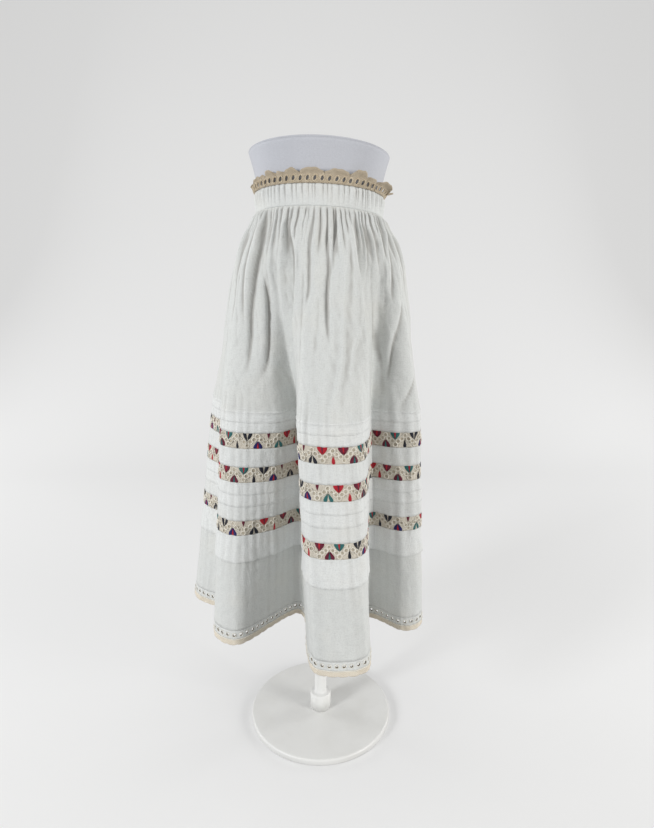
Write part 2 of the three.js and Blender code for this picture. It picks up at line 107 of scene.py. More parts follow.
class Ring:
    """A closed centripetal curve through a ring's fold points, read by the length along it."""

    steps = 200

    def __init__(self, ring):
        points = fold_points(ring)
        count = len(points)
        share = np.linspace(0, 1, self.steps, endpoint=False)[:, None]
        stretches = []
        for index in range(count):
            before, start, end, after = (points[(index + shift) % count] for shift in (-1, 0, 1, 2))
            sides = ((before, start), (start, end), (end, after))
            gaps = [math.sqrt(np.linalg.norm(far - near)) for near, far in sides]
            step = (end - start) / gaps[1]
            leave = (start - before) / gaps[0] - (end - before) / (gaps[0] + gaps[1]) + step
            arrive = step - (after - start) / (gaps[1] + gaps[2]) + (after - end) / gaps[2]
            leave, arrive = leave * gaps[1], arrive * gaps[1]
            square = -3 * start + 3 * end - 2 * leave - arrive
            cube = 2 * start - 2 * end + leave + arrive
            stretches.append(start + leave * share + square * share**2 + cube * share**3)
        self.path = np.vstack([*stretches, stretches[0][:1]])
        steps = np.linalg.norm(np.diff(self.path, axis=0), axis=1)
        self.lengths = np.concatenate([[0.0], np.cumsum(steps)])
        self.total = self.lengths[-1]
        ends = np.arange(POINTS_PER_FOLD - 1, count, POINTS_PER_FOLD) * self.steps
        self.marks = np.concatenate([[self.lengths[ends[-1]] - self.total], self.lengths[ends]])
        self.crest = self.lengths[CENTRE_CREST_POINT * self.steps]

    def at(self, length):
        wrapped = np.mod(length, self.total)
        return np.stack([np.interp(wrapped, self.lengths, self.path[:, axis]) for axis in (0, 1)], -1)


tuck_ring = Ring(0)
hem_ring = Ring(1)
START_ANGLE = CENTRE_FOLD_ANGLE - 360 * (hem_ring.crest - hem_ring.marks[0]) / hem_ring.total


def share_at(angle):
    return (angle - START_ANGLE) / 360


LEFT_SIDE = share_at(180)
RIGHT_SIDE = share_at(360)
HALVES = {"front": (LEFT_SIDE, RIGHT_SIDE), "back": (RIGHT_SIDE, LEFT_SIDE + 1)}


def together(*values):
    """The values side by side in a last axis."""
    return np.stack(np.broadcast_arrays(*values), -1)


def ease(value, start, end):
    """0 before the start, 1 past the end and smooth between them."""
    t = np.clip((value - start) / (end - start), 0, 1)
    return t * t * (3 - 2 * t)


def smooth_through(value, places, heights):
    """A curve through the rows that never swings past them."""
    places, heights = np.array(places, float), np.array(heights, float)
    steps = np.diff(places)
    slopes = np.diff(heights) / steps
    product = slopes[1:] * slopes[:-1]
    middle = np.where(product > 0, 2 * product / np.where(product > 0, slopes[1:] + slopes[:-1], 1), 0)
    tangents = np.concatenate([[slopes[0]], middle, [slopes[-1]]])
    value = np.clip(value, places[0], places[-1])
    index = np.clip(np.searchsorted(places, value, "right") - 1, 0, len(steps) - 1)
    step = steps[index]
    t = (value - places[index]) / step
    here = (1 + 2 * t) * (1 - t) ** 2 * heights[index] + t * (1 - t) ** 2 * step * tangents[index]
    return here + t**2 * (3 - 2 * t) * heights[index + 1] + t**2 * (t - 1) * step * tangents[index + 1]


def oval(shape, angle):
    x = shape["middle_x"] + shape["half_width"] * np.cos(angle)
    return together(x, shape["half_depth"] * np.sin(angle))


def plan(share, drop):
    """The cloth's middle surface in plan, by share of the way round and drop below the seam."""
    share, drop = np.broadcast_arrays(np.asarray(share, float), np.asarray(drop, float))
    turn = np.mod(share, 1)
    angle = np.radians(START_ANGLE + 360 * turn)
    hem_length = hem_ring.marks[0] + turn * hem_ring.total
    on_tuck = tuck_ring.at(np.interp(hem_length, hem_ring.marks, tuck_ring.marks))
    on_hem = hem_ring.at(hem_length)
    waist, hips = oval(WAIST, angle), oval(HIP_OVAL, angle)
    fall = (drop - DROP["first_tuck"]) / (DROP["hem"] - DROP["first_tuck"])
    swell = smooth_through(drop, SWELL_DROPS, SWELL_SHARES)[..., None]
    onset = (np.clip(drop / DROP["first_tuck"], 0, 1) ** FOLD_ONSET)[..., None]
    upper = waist + swell * (hips - waist) + onset * (on_tuck - hips)
    lower = on_tuck + fall[..., None] * (on_hem - on_tuck)
    return np.where(fall[..., None] < 0, upper, lower)


SHARE_STEP = 0.0004


def tilted_height(point, drop, dip_share):
    back = WAIST_TILT["back"] * (point[..., 1] - WAIST_TILT["start"])
    return SEAM_HEIGHT - drop - (back + WAIST_TILT["right"] * point[..., 0]) * dip_share


def surface(share, drop, out=0.0):
    """A point of the cloth, moved out from its middle surface."""
    share, drop, out = np.broadcast_arrays(*(np.asarray(value, float) for value in (share, drop, out)))
    along = plan(share + SHARE_STEP, drop) - plan(share - SHARE_STEP, drop)
    along = along / np.linalg.norm(along, axis=-1, keepdims=True)
    point = plan(share, drop) + np.stack([along[..., 1], -along[..., 0]], -1) * out[..., None]
    height = tilted_height(point, drop, np.clip(1 - drop / DROP["first_tuck"], 0, 1))
    return np.concatenate([point, height[..., None]], -1)


class Level:
    """The cloth's ring at one drop, read by the length round from the valley at the left back."""

    def __init__(self, drop):
        self.shares = np.linspace(-1, 2, 9001)
        steps = np.linalg.norm(np.diff(plan(self.shares, drop), axis=0), axis=1)
        lengths = np.concatenate([[0.0], np.cumsum(steps)])
        self.lengths = lengths - np.interp(0, self.shares, lengths)

    def share(self, length):
        return np.interp(length, self.lengths, self.shares)

    def length(self, share):
        return np.interp(share, self.shares, self.lengths)


# Relief of the cloth: gathers, drag folds, creases and the slight waves of a washed cotton
class Ripple:
    """Smooth uneven waves from about -1 to 1 that close on themselves round the skirt."""

    def __init__(self, rounds, falls, seed, waves=7):
        rng = np.random.default_rng(seed)
        self.rounds = np.round(rng.uniform(0.55, 1.45, waves) * rounds)
        self.falls = rng.uniform(-1, 1, waves) * falls
        self.phases = rng.uniform(0, 2 * math.pi, waves)

    def at(self, share, drop):
        turn, fall = 2 * math.pi * np.asarray(share), 2 * math.pi * np.asarray(drop) / 100
        waves = zip(self.rounds, self.falls, self.phases)
        total = sum(np.sin(round_ * turn + drop_ * fall + phase) for round_, drop_, phase in waves)
        return total / math.sqrt(len(self.rounds))


class Puffs:
    """Cloth pushed out in uneven puffs between the stitches of a gathered seam."""

    def __init__(self, count, heights, reaches, starts, sharpness, seed):
        rng = np.random.default_rng(seed)
        widths = rng.uniform(0.45, 1.55, count)
        self.bounds = np.concatenate([[0.0], np.cumsum(widths)]) / widths.sum()
        self.heights = rng.uniform(*heights, count) * widths**0.6
        self.reaches = rng.uniform(*reaches, count)
        self.starts = rng.uniform(*starts, count)
        self.sharpness = sharpness

    def at(self, share, drop):
        place = np.mod(np.asarray(share) - LEFT_SIDE, 1)
        index = np.clip(np.searchsorted(self.bounds, place, "right") - 1, 0, len(self.heights) - 1)
        width = self.bounds[index + 1] - self.bounds[index]
        crown = 1 - np.abs(2 * (place - self.bounds[index]) / width - 1) ** self.sharpness
        rise = ease(drop, -0.15 * self.starts[index], self.starts[index])
        fade = 1 - ease(drop, 0.35 * self.reaches[index], self.reaches[index])
        return self.heights[index] * crown * rise * fade


small_gathers = Puffs(90, (2.6, 5.4), (30, 120), (7, 12), 2.0, seed=4)
gathers = Puffs(44, (3.2, 7.4), (120, 300), (35, 70), 1.9, seed=11)
drag_folds = Puffs(27, (2.4, 5.6), (260, 350), (80, 140), 2.2, seed=23)
wander = Ripple(9, 0.7, seed=5)
slack = Ripple(16, 1.2, seed=8)
crinkle = Ripple(58, 4.5, seed=31)
strip_waves = Ripple(84, 0.22, seed=52, waves=11)
pucker = Ripple(190, 0.6, seed=14)

# Main creases: points along each as per cent of the way round and drop, then how
# far it spreads before and after them, and its depth, which is below 0 in a trough
CREASES = [
    ([(22.9, 4), (23.3, 55), (22.6, 97), (21.9, 140), (21.2, 182), (20.4, 300)], 4, 15, -10.0),
    ([(29.6, 24), (30.9, 99), (30.3, 223), (29.6, 318)], 26, 4, -13.0),
    ([(27.6, 20), (28.0, 120), (27.2, 240)], 12, 12, 4.0),
    ([(34.9, 60), (35.0, 125), (34.7, 172)], 4, 10, -6.0),
    ([(38.0, 34), (38.5, 108), (38.2, 151), (38.2, 192), (38.5, 238)], 12, 4, -10.5),
    ([(39.9, 10), (39.2, 81), (39.0, 130)], 4, 4, -5.0),
    ([(31.1, 55), (31.6, 109), (31.8, 142), (31.3, 200)], 6, 3, -5.0),
    ([(24.0, 108), (24.7, 159), (24.3, 211), (23.3, 264), (21.5, 302)], 4, 10, -7.0),
    ([(43.1, 19), (41.6, 68), (40.8, 136), (40.5, 192), (40.1, 260), (39.5, 345)], 9, 6, 5.0),
    ([(44.0, 8), (44.1, 92), (44.5, 134), (45.1, 205), (46.0, 271), (48.9, 345)], 3, 26, -14.0),
    ([(47.4, 100), (49.3, 190), (50.4, 270), (51.0, 348)], 15, 18, -8.0),
    ([(43.0, 20), (43.2, 92), (43.7, 134), (44.2, 205), (44.9, 271), (46.9, 345)], 16, 4, 5.5),
    ([(54.0, 22), (53.1, 88), (52.0, 165)], 5, 10, -6.0),
    ([(56.6, 105), (54.0, 180), (52.1, 239), (51.0, 310)], 5, 11, -7.0),
    ([(56.2, 270), (53.5, 325), (52.6, 349)], 4, 7, -5.0),
    ([(51.8, 56), (50.9, 140)], 6, 6, 3.0),
    ([(40.0, 244), (39.0, 338)], 7, 7, 2.6),
    ([(43.8, 186), (41.7, 244), (41.3, 284)], 5, 5, 2.6),
    ([(18.6, 12), (17.4, 110), (17.0, 210)], 8, 8, -4.4),
    ([(13.4, 20), (14.0, 130), (14.6, 260)], 9, 9, -5.0),
    ([(60.4, 10), (61.3, 110), (61.0, 240)], 8, 8, -5.2),
    ([(65.8, 30), (65.1, 130), (64.2, 205)], 7, 7, -4.2),
    ([(70.5, 8), (71.4, 90), (71.0, 190), (70.2, 300)], 9, 9, -5.6),
    ([(76.0, 40), (75.4, 150), (75.0, 220)], 6, 6, 3.2),
    ([(79.2, 12), (80.1, 120), (81.2, 270)], 8, 8, -5.4),
    ([(85.4, 24), (84.6, 100), (84.9, 180)], 6, 6, -4.0),
    ([(89.7, 8), (90.6, 120), (91.8, 250), (92.0, 320)], 9, 9, -5.8),
    ([(95.2, 36), (95.6, 150), (96.6, 230)], 7, 7, 3.4),
    ([(98.8, 14), (99.7, 110), (100.6, 260)], 7, 7, -4.6),
    ([(105.2, 20), (105.6, 120), (106.3, 210)], 8, 8, -4.8),
]
SEAMS = [name for name in DROP if name.startswith("band") or name in ("hem_tier_end", "beading_end")]
# About how long the cloth's ring is at some drops
RING_DROPS = (-35, 0, 100, 350, 780)
RING_LENGTHS = (640, 650, 877, 1434, 2079)


def creases(share, drop):
    """The creases' relief, and how much of it they make alone."""
    total = np.zeros(np.broadcast(share, drop).shape)
    alone = np.zeros(total.shape)
    round_length = np.interp(drop, RING_DROPS, RING_LENGTHS)
    for path, before, after, depth in CREASES:
        shares, drops = np.array(path, float).T
        middle = smooth_through(drop, drops, shares) / 100
        apart = np.mod(share - middle + 0.5, 1) - 0.5
        across = np.exp(-np.abs(apart * round_length / np.where(apart < 0, before, after)) ** 1.35)
        rise = ease(drop, drops[0] - 10, drops[0] + 40)
        fade = 1 - ease(drop, drops[-1] - 0.3 * (drops[-1] - drops[0]), drops[-1])
        total += depth * across * rise * fade
        alone += across**0.5 * rise * fade * min(1, abs(depth) / 8)
    return total, np.minimum(alone, 1)


def relief(share, drop):
    """How far the cloth stands out from its smooth form."""
    share, drop = np.broadcast_arrays(np.asarray(share, float), np.asarray(drop, float))
    top = ease(drop, 0, 60)
    moved = share + 0.0016 * wander.at(share, drop) * top
    placed, alone = creases(share + 0.0008 * wander.at(share, drop), drop)
    upper = gathers.at(moved, drop) + drag_folds.at(moved, drop)
    upper = small_gathers.at(moved, drop) + upper * (1 - 0.75 * alone) + placed
    hang = 0.5 * slack.at(share, drop) * top + 0.25 * crinkle.at(share, drop) * top
    sewn = ease(drop, 300, 350) * (1 - 0.45 * ease(drop, 630, 690))
    seams = sum(np.exp(-np.abs(drop - DROP[seam]) / 6) for seam in SEAMS)
    return upper + hang + 0.62 * sewn * strip_waves.at(share, drop) + 0.3 * seams * pucker.at(share, drop)


def painted_fold_shade(height, share, drop, reach=5.0):
    """How deep the cloth lies between its neighbours on both sides: 1 in a narrow fold. It is the amount of
    painted shade in the cotton there.
    """
    step = reach / np.interp(drop, RING_DROPS, RING_LENGTHS)
    beside = height(share - step, drop) + height(share + step, drop)
    depth = (beside / 2 - height(share, drop)) / (1.8 + 2.0 * ease(drop, 300, 360))
    return np.clip(depth, 0, 1)


def cloth_point(share, drop, lift=0.0):
    return surface(share, drop, lift + relief(share, drop))


# Meshes
def link(name, mesh):
    piece = bpy.data.objects.new(name, mesh)
    scene.collection.objects.link(piece)
    return piece


def make_piece(name, vertices, faces, finishes, uv=None, marks=None, face_finish=None):
    """A smooth mesh from millimetre points. uv is in millimetres too, marks are named values of each
    point, and face_finish says which of the finishes each face has."""
    mesh = bpy.data.meshes.new(name)
    points = (np.reshape(vertices, (-1, 3)) * MM).tolist()
    mesh.from_pydata(points, [], faces if isinstance(faces, list) else faces.tolist())
    for finish in finishes:
        mesh.materials.append(finish)
    if uv is not None:
        corners = np.empty(len(mesh.loops), np.int32)
        mesh.loops.foreach_get("vertex_index", corners)
        layer = mesh.uv_layers.new(name="cloth")
        corner_uv = (np.reshape(uv, (-1, 2)) * MM)[corners]
        layer.data.foreach_set("uv", corner_uv.astype(np.float32).ravel())
    for mark, values in (marks or {}).items():
        flat_values = np.ravel(values).astype(np.float32)
        mesh.attributes.new(mark, "FLOAT", "POINT").data.foreach_set("value", flat_values)
    if face_finish is not None:
        mesh.polygons.foreach_set("material_index", np.asarray(face_finish, np.int32))
    mesh.shade_smooth()
    return link(name, mesh)


def grid_faces(columns, rows, round_=False, closed=False):
    """Quads of a grid whose points run down each column. round_ joins the last column to the
    first, and closed joins each column's last row to its first."""
    count = columns if round_ else columns + 1
    column, row = np.meshgrid(np.arange(columns), np.arange(rows if closed else rows - 1), indexing="ij")
    here, after = column * rows, (column + 1) % count * rows
    below = (row + 1) % rows
    return np.stack([here + row, here + below, after + below, after + row], -1).reshape(-1, 4)


def add_wall(piece, thickness):
    wall = piece.modifiers.new("wall", "SOLIDIFY")
    wall.thickness = thickness * MM
    wall.offset = 0
    wall.use_even_offset = False
    return piece


def dress(piece, replaces=()):
    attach(piece, "root")
    if replaces:
        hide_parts(*replaces)
    return piece


# Materials
def add_node(tree, kind, settings=None, values=None):
    """A node with its settings, and a value or a link for each of its sockets."""
    made = tree.nodes.new(kind)
    for setting, value in (settings or {}).items():
        setattr(made, setting, value)
    for socket, value in (values or {}).items():
        if isinstance(value, Amount):
            value = value.socket
        if isinstance(value, bpy.types.NodeSocket):
            tree.links.new(value, made.inputs[socket])
        else:
            made.inputs[socket].default_value = value
    return made


class Amount:
    """A number in a material, on which Python's operators add Math nodes."""

    def __init__(self, finish, socket):
        self.finish = finish
        self.socket = socket

    def math(self, operation, first, second=0.0):
        made = self.finish.node("Math", {"operation": operation}, {0: first, 1: second})
        return Amount(self.finish, made.outputs[0])

    def __add__(self, other):
        return self.math("ADD", self, other)

    def __radd__(self, other):
        return self.math("ADD", other, self)

    def __sub__(self, other):
        return self.math("SUBTRACT", self, other)

    def __rsub__(self, other):
        return self.math("SUBTRACT", other, self)

    def __mul__(self, other):
        return self.math("MULTIPLY", self, other)

    def __rmul__(self, other):
        return self.math("MULTIPLY", other, self)

    def sine(self):
        return self.math("SINE", self)

    def absolute(self):
        return self.math("ABSOLUTE", self)

    def clamped(self, start=0.0, end=1.0):
        """0 at the start and 1 at the end."""
        values = {"Value": self, "From Min": start, "From Max": end}
        return Amount(self.finish, self.finish.node("MapRange", {"clamp": True}, values).outputs[0])


class Finish:
    """A material's node tree. Every node comes from the node method."""

    def __init__(self, name):
        self.material = bpy.data.materials.new(name)
        self.material.use_nodes = True
        self.tree = self.material.node_tree
        self.tree.nodes.clear()

    def node(self, kind, settings=None, values=None):
        return add_node(self.tree, "ShaderNode" + kind, settings, values)

    def cloth_uv(self):
        """The piece's own UV map, in metres along the cloth."""
        return self.node("UVMap", {"uv_map": "cloth"}).outputs[0]

    def place(self):
        return self.node("TexCoord").outputs["Object"]

    def stretched(self, vector, scale):
        return self.node("Mapping", None, {"Vector": vector, "Scale": scale}).outputs[0]

    def noise(self, vector, scale, detail=2.0, roughness=0.5):
        values = {"Vector": vector, "Scale": scale, "Detail": detail, "Roughness": roughness}
        return Amount(self, self.node("TexNoise", None, values).outputs[0])

    def cells(self, vector, scale):
        values = {"Vector": vector, "Scale": scale}
        return Amount(self, self.node("TexVoronoi", None, values).outputs["Distance"])

    def axis(self, vector, name):
        return Amount(self, self.node("SeparateXYZ", None, {0: vector}).outputs[name])

    def mark(self, name):
        return Amount(self, self.node("Attribute", {"attribute_name": name}).outputs["Fac"])

    def mix(self, amount, first, second):
        """The first colour where the amount is 0 and the second where it is 1."""
        settings = {"data_type": "RGBA", "clamp_factor": True}
        colours = {6: self.colour(first), 7: self.colour(second)}
        return self.node("Mix", settings, {0: amount, **colours}).outputs[2]

    def colour(self, value):
        return value if isinstance(value, bpy.types.NodeSocket) else (*linear(value), 1)

    def close(self, colour, height, depth, shader, strength=1.0):
        """Joins a colour and a height, with its depth in millimetres, to the surface."""
        values = {"Height": height, "Distance": depth * MM, "Strength": strength}
        bump = self.node("Bump", None, values).outputs[0]
        values = {"Base Color": self.colour(colour), "Normal": bump, **shader}
        made = self.node("BsdfPrincipled", None, values)
        self.node("OutputMaterial", None, {0: made.outputs[0]})
        return self.material


def linear(colour):
    """A screen colour of 0 to 255 as linear light."""
    return [(c / 255 / 12.92) if c / 255 <= 0.04045 else ((c / 255 + 0.055) / 1.055) ** 2.4 for c in colour]


def cotton(name, single, double):
    """Slubby handloom cotton. It is whiter where it lies double, and painted shade greys it in the hollows of
    its folds.
    """
    finish = Finish(name)
    uv = finish.cloth_uv()
    across = finish.noise(finish.stretched(uv, (70, 900, 1)), 1.0, 2.0)
    down = finish.noise(finish.stretched(uv, (900, 70, 1)), 1.0, 2.0)
    crumple = finish.noise(uv, 75.0, 4.0, 0.6)
    haze = finish.noise(uv, 14.0, 2.0)
    bends = finish.noise(finish.stretched(uv, (22, 9, 1)), 1.0, 1.5)
    wrinkles = 1.0 - ((bends - 0.5).absolute() * 16.0).clamped()
    cloth = finish.mix(finish.mark("doubled"), single, double)
    worn = tuple(part * 0.84 for part in single)
    slubs = ((across + down) * 0.5).clamped(0.52, 0.7)
    grain = finish.noise(uv, 420.0, 2.0).clamped(0.42, 0.7)
    cloth = finish.mix(slubs * 0.4 + grain * 0.25, cloth, worn)
    cloth = finish.mix(haze.clamped(0.5, 0.8) * 0.25, cloth, (218, 214, 204))
    # Painted shade: the cotton is greyed where it lies deep in a fold.
    cloth = finish.mix(finish.mark("painted_fold_shade") * 0.6, cloth, (158, 155, 150))
    height = (across + down) * 0.34 + crumple * 1.2 + wrinkles * 0.4
    return finish.close(cloth, height, 1.6, {"Roughness": 0.86, "Sheen Weight": 0.12}, 0.8)


def lace_ground(name):
    """Ecru net, closely worked, under the rings and motifs."""
    finish = Finish(name)
    uv = finish.cloth_uv()
    mesh_holes = finish.cells(uv, 560.0)
    threads = finish.cells(uv, 240.0)
    wear = finish.noise(uv, 40.0, 3.0)
    colour = finish.mix(mesh_holes.clamped(0.1, 0.5), (176, 167, 150), (210, 203, 190))
    colour = finish.mix(wear.clamped(0.4, 0.7) * 0.35, colour, (196, 188, 173))
    return finish.close(colour, mesh_holes + threads * 0.7, 0.8, {"Roughness": 0.92}, 0.9)


def crochet(name, shade, light, stitch=2.2, row=2.6):
    """Cotton yarn worked in rows of stitches."""
    finish = Finish(name)
    uv = finish.cloth_uv()
    turn = 2 * math.pi / MM
    along = (finish.axis(uv, "X") * (turn / stitch)).sine()
    down = (finish.axis(uv, "Y") * (turn / row)).sine()
    loops = along * down * 0.5 + 0.5
    fuzz = finish.noise(uv, 700.0, 3.0)
    uneven = finish.noise(uv, 90.0, 3.0)
    colour = finish.mix((loops * 0.55 + fuzz * 0.3 + uneven * 0.35).clamped(0.25, 0.95), shade, light)
    height = loops + fuzz * 0.6 + uneven * 0.8
    return finish.close(colour, height, 0.7, {"Roughness": 0.95, "Sheen Weight": 0.1}, 0.8)


def yarn(name, shade, light):
    """A single cotton yarn of the crocheted rings and loops."""
    finish = Finish(name)
    place = finish.place()
    fibres = finish.noise(place, 900.0, 3.0)
    shade_spots = finish.noise(place, 120.0, 2.0)
    colour = finish.mix((fibres * 0.5 + shade_spots * 0.6).clamped(0.35, 0.75), shade, light)
    return finish.close(colour, fibres, 0.25, {"Roughness": 0.9, "Sheen Weight": 0.15}, 0.6)


def satin_thread(name, colour):
    """Embroidery floss laid side by side across each shape."""
    finish = Finish(name)
    uv = finish.cloth_uv()
    strands = (finish.axis(uv, "Y") * (2 * math.pi / MM / 0.9)).sine() * 0.5 + 0.5
    flecks = finish.noise(finish.stretched(uv, (300, 1600, 1)), 1.0, 2.0)
    lit = tuple(min(255, part * 1.25 + 10) for part in colour)
    shaded = finish.mix((strands * 0.4 + flecks * 0.8).clamped(0.4, 1.1), colour, lit)
    shader = {"Roughness": 0.55, "Sheen Weight": 0.1, "Specular IOR Level": 0.35}
    return finish.close(shaded, strands + flecks * 0.5, 0.3, shader, 0.7)


def jersey(name):
    """Fine knitted cover of the display form."""
    finish = Finish(name)
    place = finish.place()
    loops = finish.cells(finish.stretched(place, (900, 900, 600)), 1.0)
    mottle = finish.noise(place, 700.0, 3.0)
    soft = finish.noise(place, 9.0, 2.0)
    colour = finish.mix(mottle.clamped(0.35, 0.65), (187, 189, 196), (197, 199, 206))
    colour = finish.mix(soft.clamped(0.4, 0.75) * 0.25, colour, (182, 181, 185))
    return finish.close(colour, loops + mottle * 0.8, 0.25, {"Roughness": 0.93, "Sheen Weight": 0.2}, 0.5)


def painted_steel(name):
    """White powder coat with its faint orange peel."""
    finish = Finish(name)
    place = finish.place()
    peel = finish.noise(place, 420.0, 2.0)
    dust = finish.noise(place, 18.0, 4.0)
    colour = finish.mix(dust.clamped(0.45, 0.75) * 0.4, (232, 232, 230), (219, 218, 214))
    return finish.close(colour, peel, 0.12, {"Roughness": 0.42, "Coat Weight": 0.1}, 0.4)


white_cotton = cotton("white_cotton", (214, 216, 214), (224, 226, 225))
ecru_net = lace_ground("ecru_net")
taupe_crochet = crochet("taupe_crochet", (160, 142, 116), (212, 200, 180))
hem_crochet = crochet("hem_crochet", (212, 199, 178), (243, 236, 222), 2.6, 3.2)
cream_yarn = yarn("cream_yarn", (214, 207, 193), (234, 230, 220))
# Painted shade: darker rounds laid in the middles of the crochet rings stand for the shade in their openings.
painted_ring_shade = yarn("painted_ring_shade", (166, 156, 138), (190, 181, 164))
taupe_yarn = yarn("taupe_yarn", (170, 152, 124), (212, 199, 176))
white_yarn = yarn("white_yarn", (216, 214, 204), (240, 238, 230))
# Painted shade: the dark yarn of the rings behind the eyelets darkens the holes.
eyelet_shade_yarn = yarn("eyelet_shade_yarn", (92, 80, 60), (132, 116, 88))
THREADS = {
    "black": (10, 14, 28),
    "navy": (13, 16, 80),
    "burgundy": (88, 8, 36),
    "red": (158, 10, 30),
    "teal": (32, 90, 90),
}
threads = {colour: satin_thread(f"{colour}_thread", shade) for colour, shade in THREADS.items()}
jersey_cover = jersey("jersey_cover")
white_steel = painted_steel("white_steel")


# Small things that repeat over the cloth are placed by Geometry Nodes on a cloud of points
class Tree:
    """A Geometry Nodes tree with inputs by name and kind."""

    def __init__(self, name, inputs):
        self.tree = bpy.data.node_groups.new(name, "GeometryNodeTree")
        self.tree.interface.new_socket("Geometry", in_out="OUTPUT", socket_type="NodeSocketGeometry")
        self.inputs = {}
        for label, kind in {"Geometry": "Geometry", **inputs, "Finish": "Material"}.items():
            socket = self.tree.interface.new_socket(label, in_out="INPUT", socket_type="NodeSocket" + kind)
            self.inputs[label] = socket.identifier
        self.start = self.tree.nodes.new("NodeGroupInput")

    def node(self, kind, settings=None, values=None):
        return add_node(self.tree, kind, settings, values)

    def named(self, name):
        settings = {"data_type": "FLOAT_VECTOR"}
        return self.node("GeometryNodeInputNamedAttribute", settings, {"Name": name}).outputs[0]

    def finish(self, shape):
        """Copies the shape to each point, turned to its facing and heading and scaled by its size."""
        turned = {"Primary Axis": self.named("facing"), "Secondary Axis": self.named("heading")}
        settings = {"primary_axis": "Z", "secondary_axis": "X"}
        rotation = self.node("FunctionNodeAxesToRotation", settings, turned)
        placed = self.node("GeometryNodeInstanceOnPoints", None, {
            "Points": self.start.outputs["Geometry"],
            "Instance": shape,
            "Rotation": rotation.outputs[0],
            "Scale": self.named("size"),
        })
        real = self.node("GeometryNodeRealizeInstances", None, {"Geometry": placed.outputs[0]})
        smooth = self.node("GeometryNodeSetShadeSmooth", None, {"Geometry": real.outputs[0]})
        painted = self.node("GeometryNodeSetMaterial", None, {
            "Geometry": smooth.outputs[0],
            "Material": self.start.outputs["Finish"],
        })
        end = self.tree.nodes.new("NodeGroupOutput")
        self.tree.links.new(painted.outputs[0], end.inputs[0])
        return self


def ring_tree():
    """A ring of yarn at each point."""
    made = Tree("yarn_rings", {"Ring Radius": "Float", "Yarn Radius": "Float", "Sides": "Int"})
    start = made.start.outputs
    circle = made.node("GeometryNodeCurvePrimitiveCircle", None, {
        "Resolution": start["Sides"],
        "Radius": start["Ring Radius"],
    })
    section = made.node("GeometryNodeCurvePrimitiveCircle", None, {
        "Resolution": 4,
        "Radius": start["Yarn Radius"],
    })
    ring = made.node("GeometryNodeCurveToMesh", None, {
        "Curve": circle.outputs[0],
        "Profile Curve": section.outputs[0],
    })
    return made.finish(ring.outputs[0])


def stitch_tree():
    """A stitch of thread at each point, long in its heading."""
    made = Tree("stitches", {"Length": "Float", "Thickness": "Float"})
    start = made.start.outputs
    bead = made.node("GeometryNodeMeshUVSphere", None, {"Segments": 6, "Rings": 4, "Radius": 0.5})
    size = made.node("ShaderNodeCombineXYZ", None, {
        "X": start["Length"],
        "Y": start["Thickness"],
        "Z": start["Thickness"],
    })
    shaped = made.node("GeometryNodeTransform", None, {"Geometry": bead.outputs[0], "Scale": size.outputs[0]})
    return made.finish(shaped.outputs[0])


def spot_tree():
    """A small flat round at each point."""
    made = Tree("spots", {"Radius": "Float"})
    sizes = {"Vertices": 10, "Radius": made.start.outputs["Radius"]}
    spot = made.node("GeometryNodeMeshCircle", {"fill_type": "NGON"}, sizes)
    return made.finish(spot.outputs[0])


TREES = {"ring": ring_tree(), "stitch": stitch_tree(), "spot": spot_tree()}


def repeat(name, tree_name, points, facing, heading, sizes, **inputs):
    """A plain mesh with the tree's shape at every point."""
    tree = TREES[tree_name]
    mesh = bpy.data.meshes.new(name)
    mesh.from_pydata((np.asarray(points) * MM).tolist(), [], [])
    for mark, values in (("facing", facing), ("heading", heading), ("size", sizes)):
        attribute = mesh.attributes.new(mark, "FLOAT_VECTOR", "POINT")
        attribute.data.foreach_set("vector", np.asarray(values, np.float32).ravel())
    seeds = link(name + "_points", mesh)
    modifier = seeds.modifiers.new("repeat", "NODES")
    modifier.node_group = tree.tree
    for label, value in inputs.items():
        modifier[tree.inputs[label.replace("_", " ").title()]] = value
    seeds.update_tag()
    graph = bpy.context.evaluated_depsgraph_get()
    made = bpy.data.meshes.new_from_object(seeds.evaluated_get(graph), depsgraph=graph)
    made.name = name
    seeds.modifiers.remove(modifier)
    bpy.data.objects.remove(seeds)
    return link(name, made)


def unit(vectors):
    return vectors / np.linalg.norm(vectors, axis=-1, keepdims=True)


def axes_at(place, share, drop, lift, fall=1.0):
    """Points of a surface with the directions out of it, along it and down it."""
    step = 0.0008
    along = unit(place(share + step, drop, lift) - place(share - step, drop, lift))
    down = unit(place(share, drop + fall, lift) - place(share, drop - fall, lift))
    return place(share, drop, lift), unit(np.cross(down, along)), along, down


def same_size(count, scale=(1, 1, 1)):
    return np.tile(np.array(scale, float), (count, 1))


def stitch_line(name, drop, lift, pitch, length, thickness, finish, half):
    level = Level(drop)
    ends = level.length(np.array(HALVES[half]))
    count = int((ends[1] - ends[0]) / pitch)
    share = level.share(ends[0] + pitch * (np.arange(count) + 0.5))
    point, out, along, _ = axes_at(cloth_point, share, np.full(count, float(drop)), lift)
    sizes = {"length": length * MM, "thickness": thickness * MM}
    return repeat(name, "stitch", point, out, along, same_size(count), finish=finish, **sizes)


# Cloth pieces: rows of a profile, each (drop, lift, doubled, flap), swept round half the skirt.
# flap is how freely the row waves, as a tuck's edge does.
CLOTH_LIFT = 0.7
CLOTH_WALL = 0.5
SIDE_GAP = 0.25
flap_wave = Ripple(42, 0.0, seed=77)


def plain(top, end, step, doubled=0.0, lift=CLOTH_LIFT):
    count = max(2, int(round((end - top) / step)) + 1)
    return [(drop, lift, doubled, 0.0) for drop in np.linspace(top, end, count)]


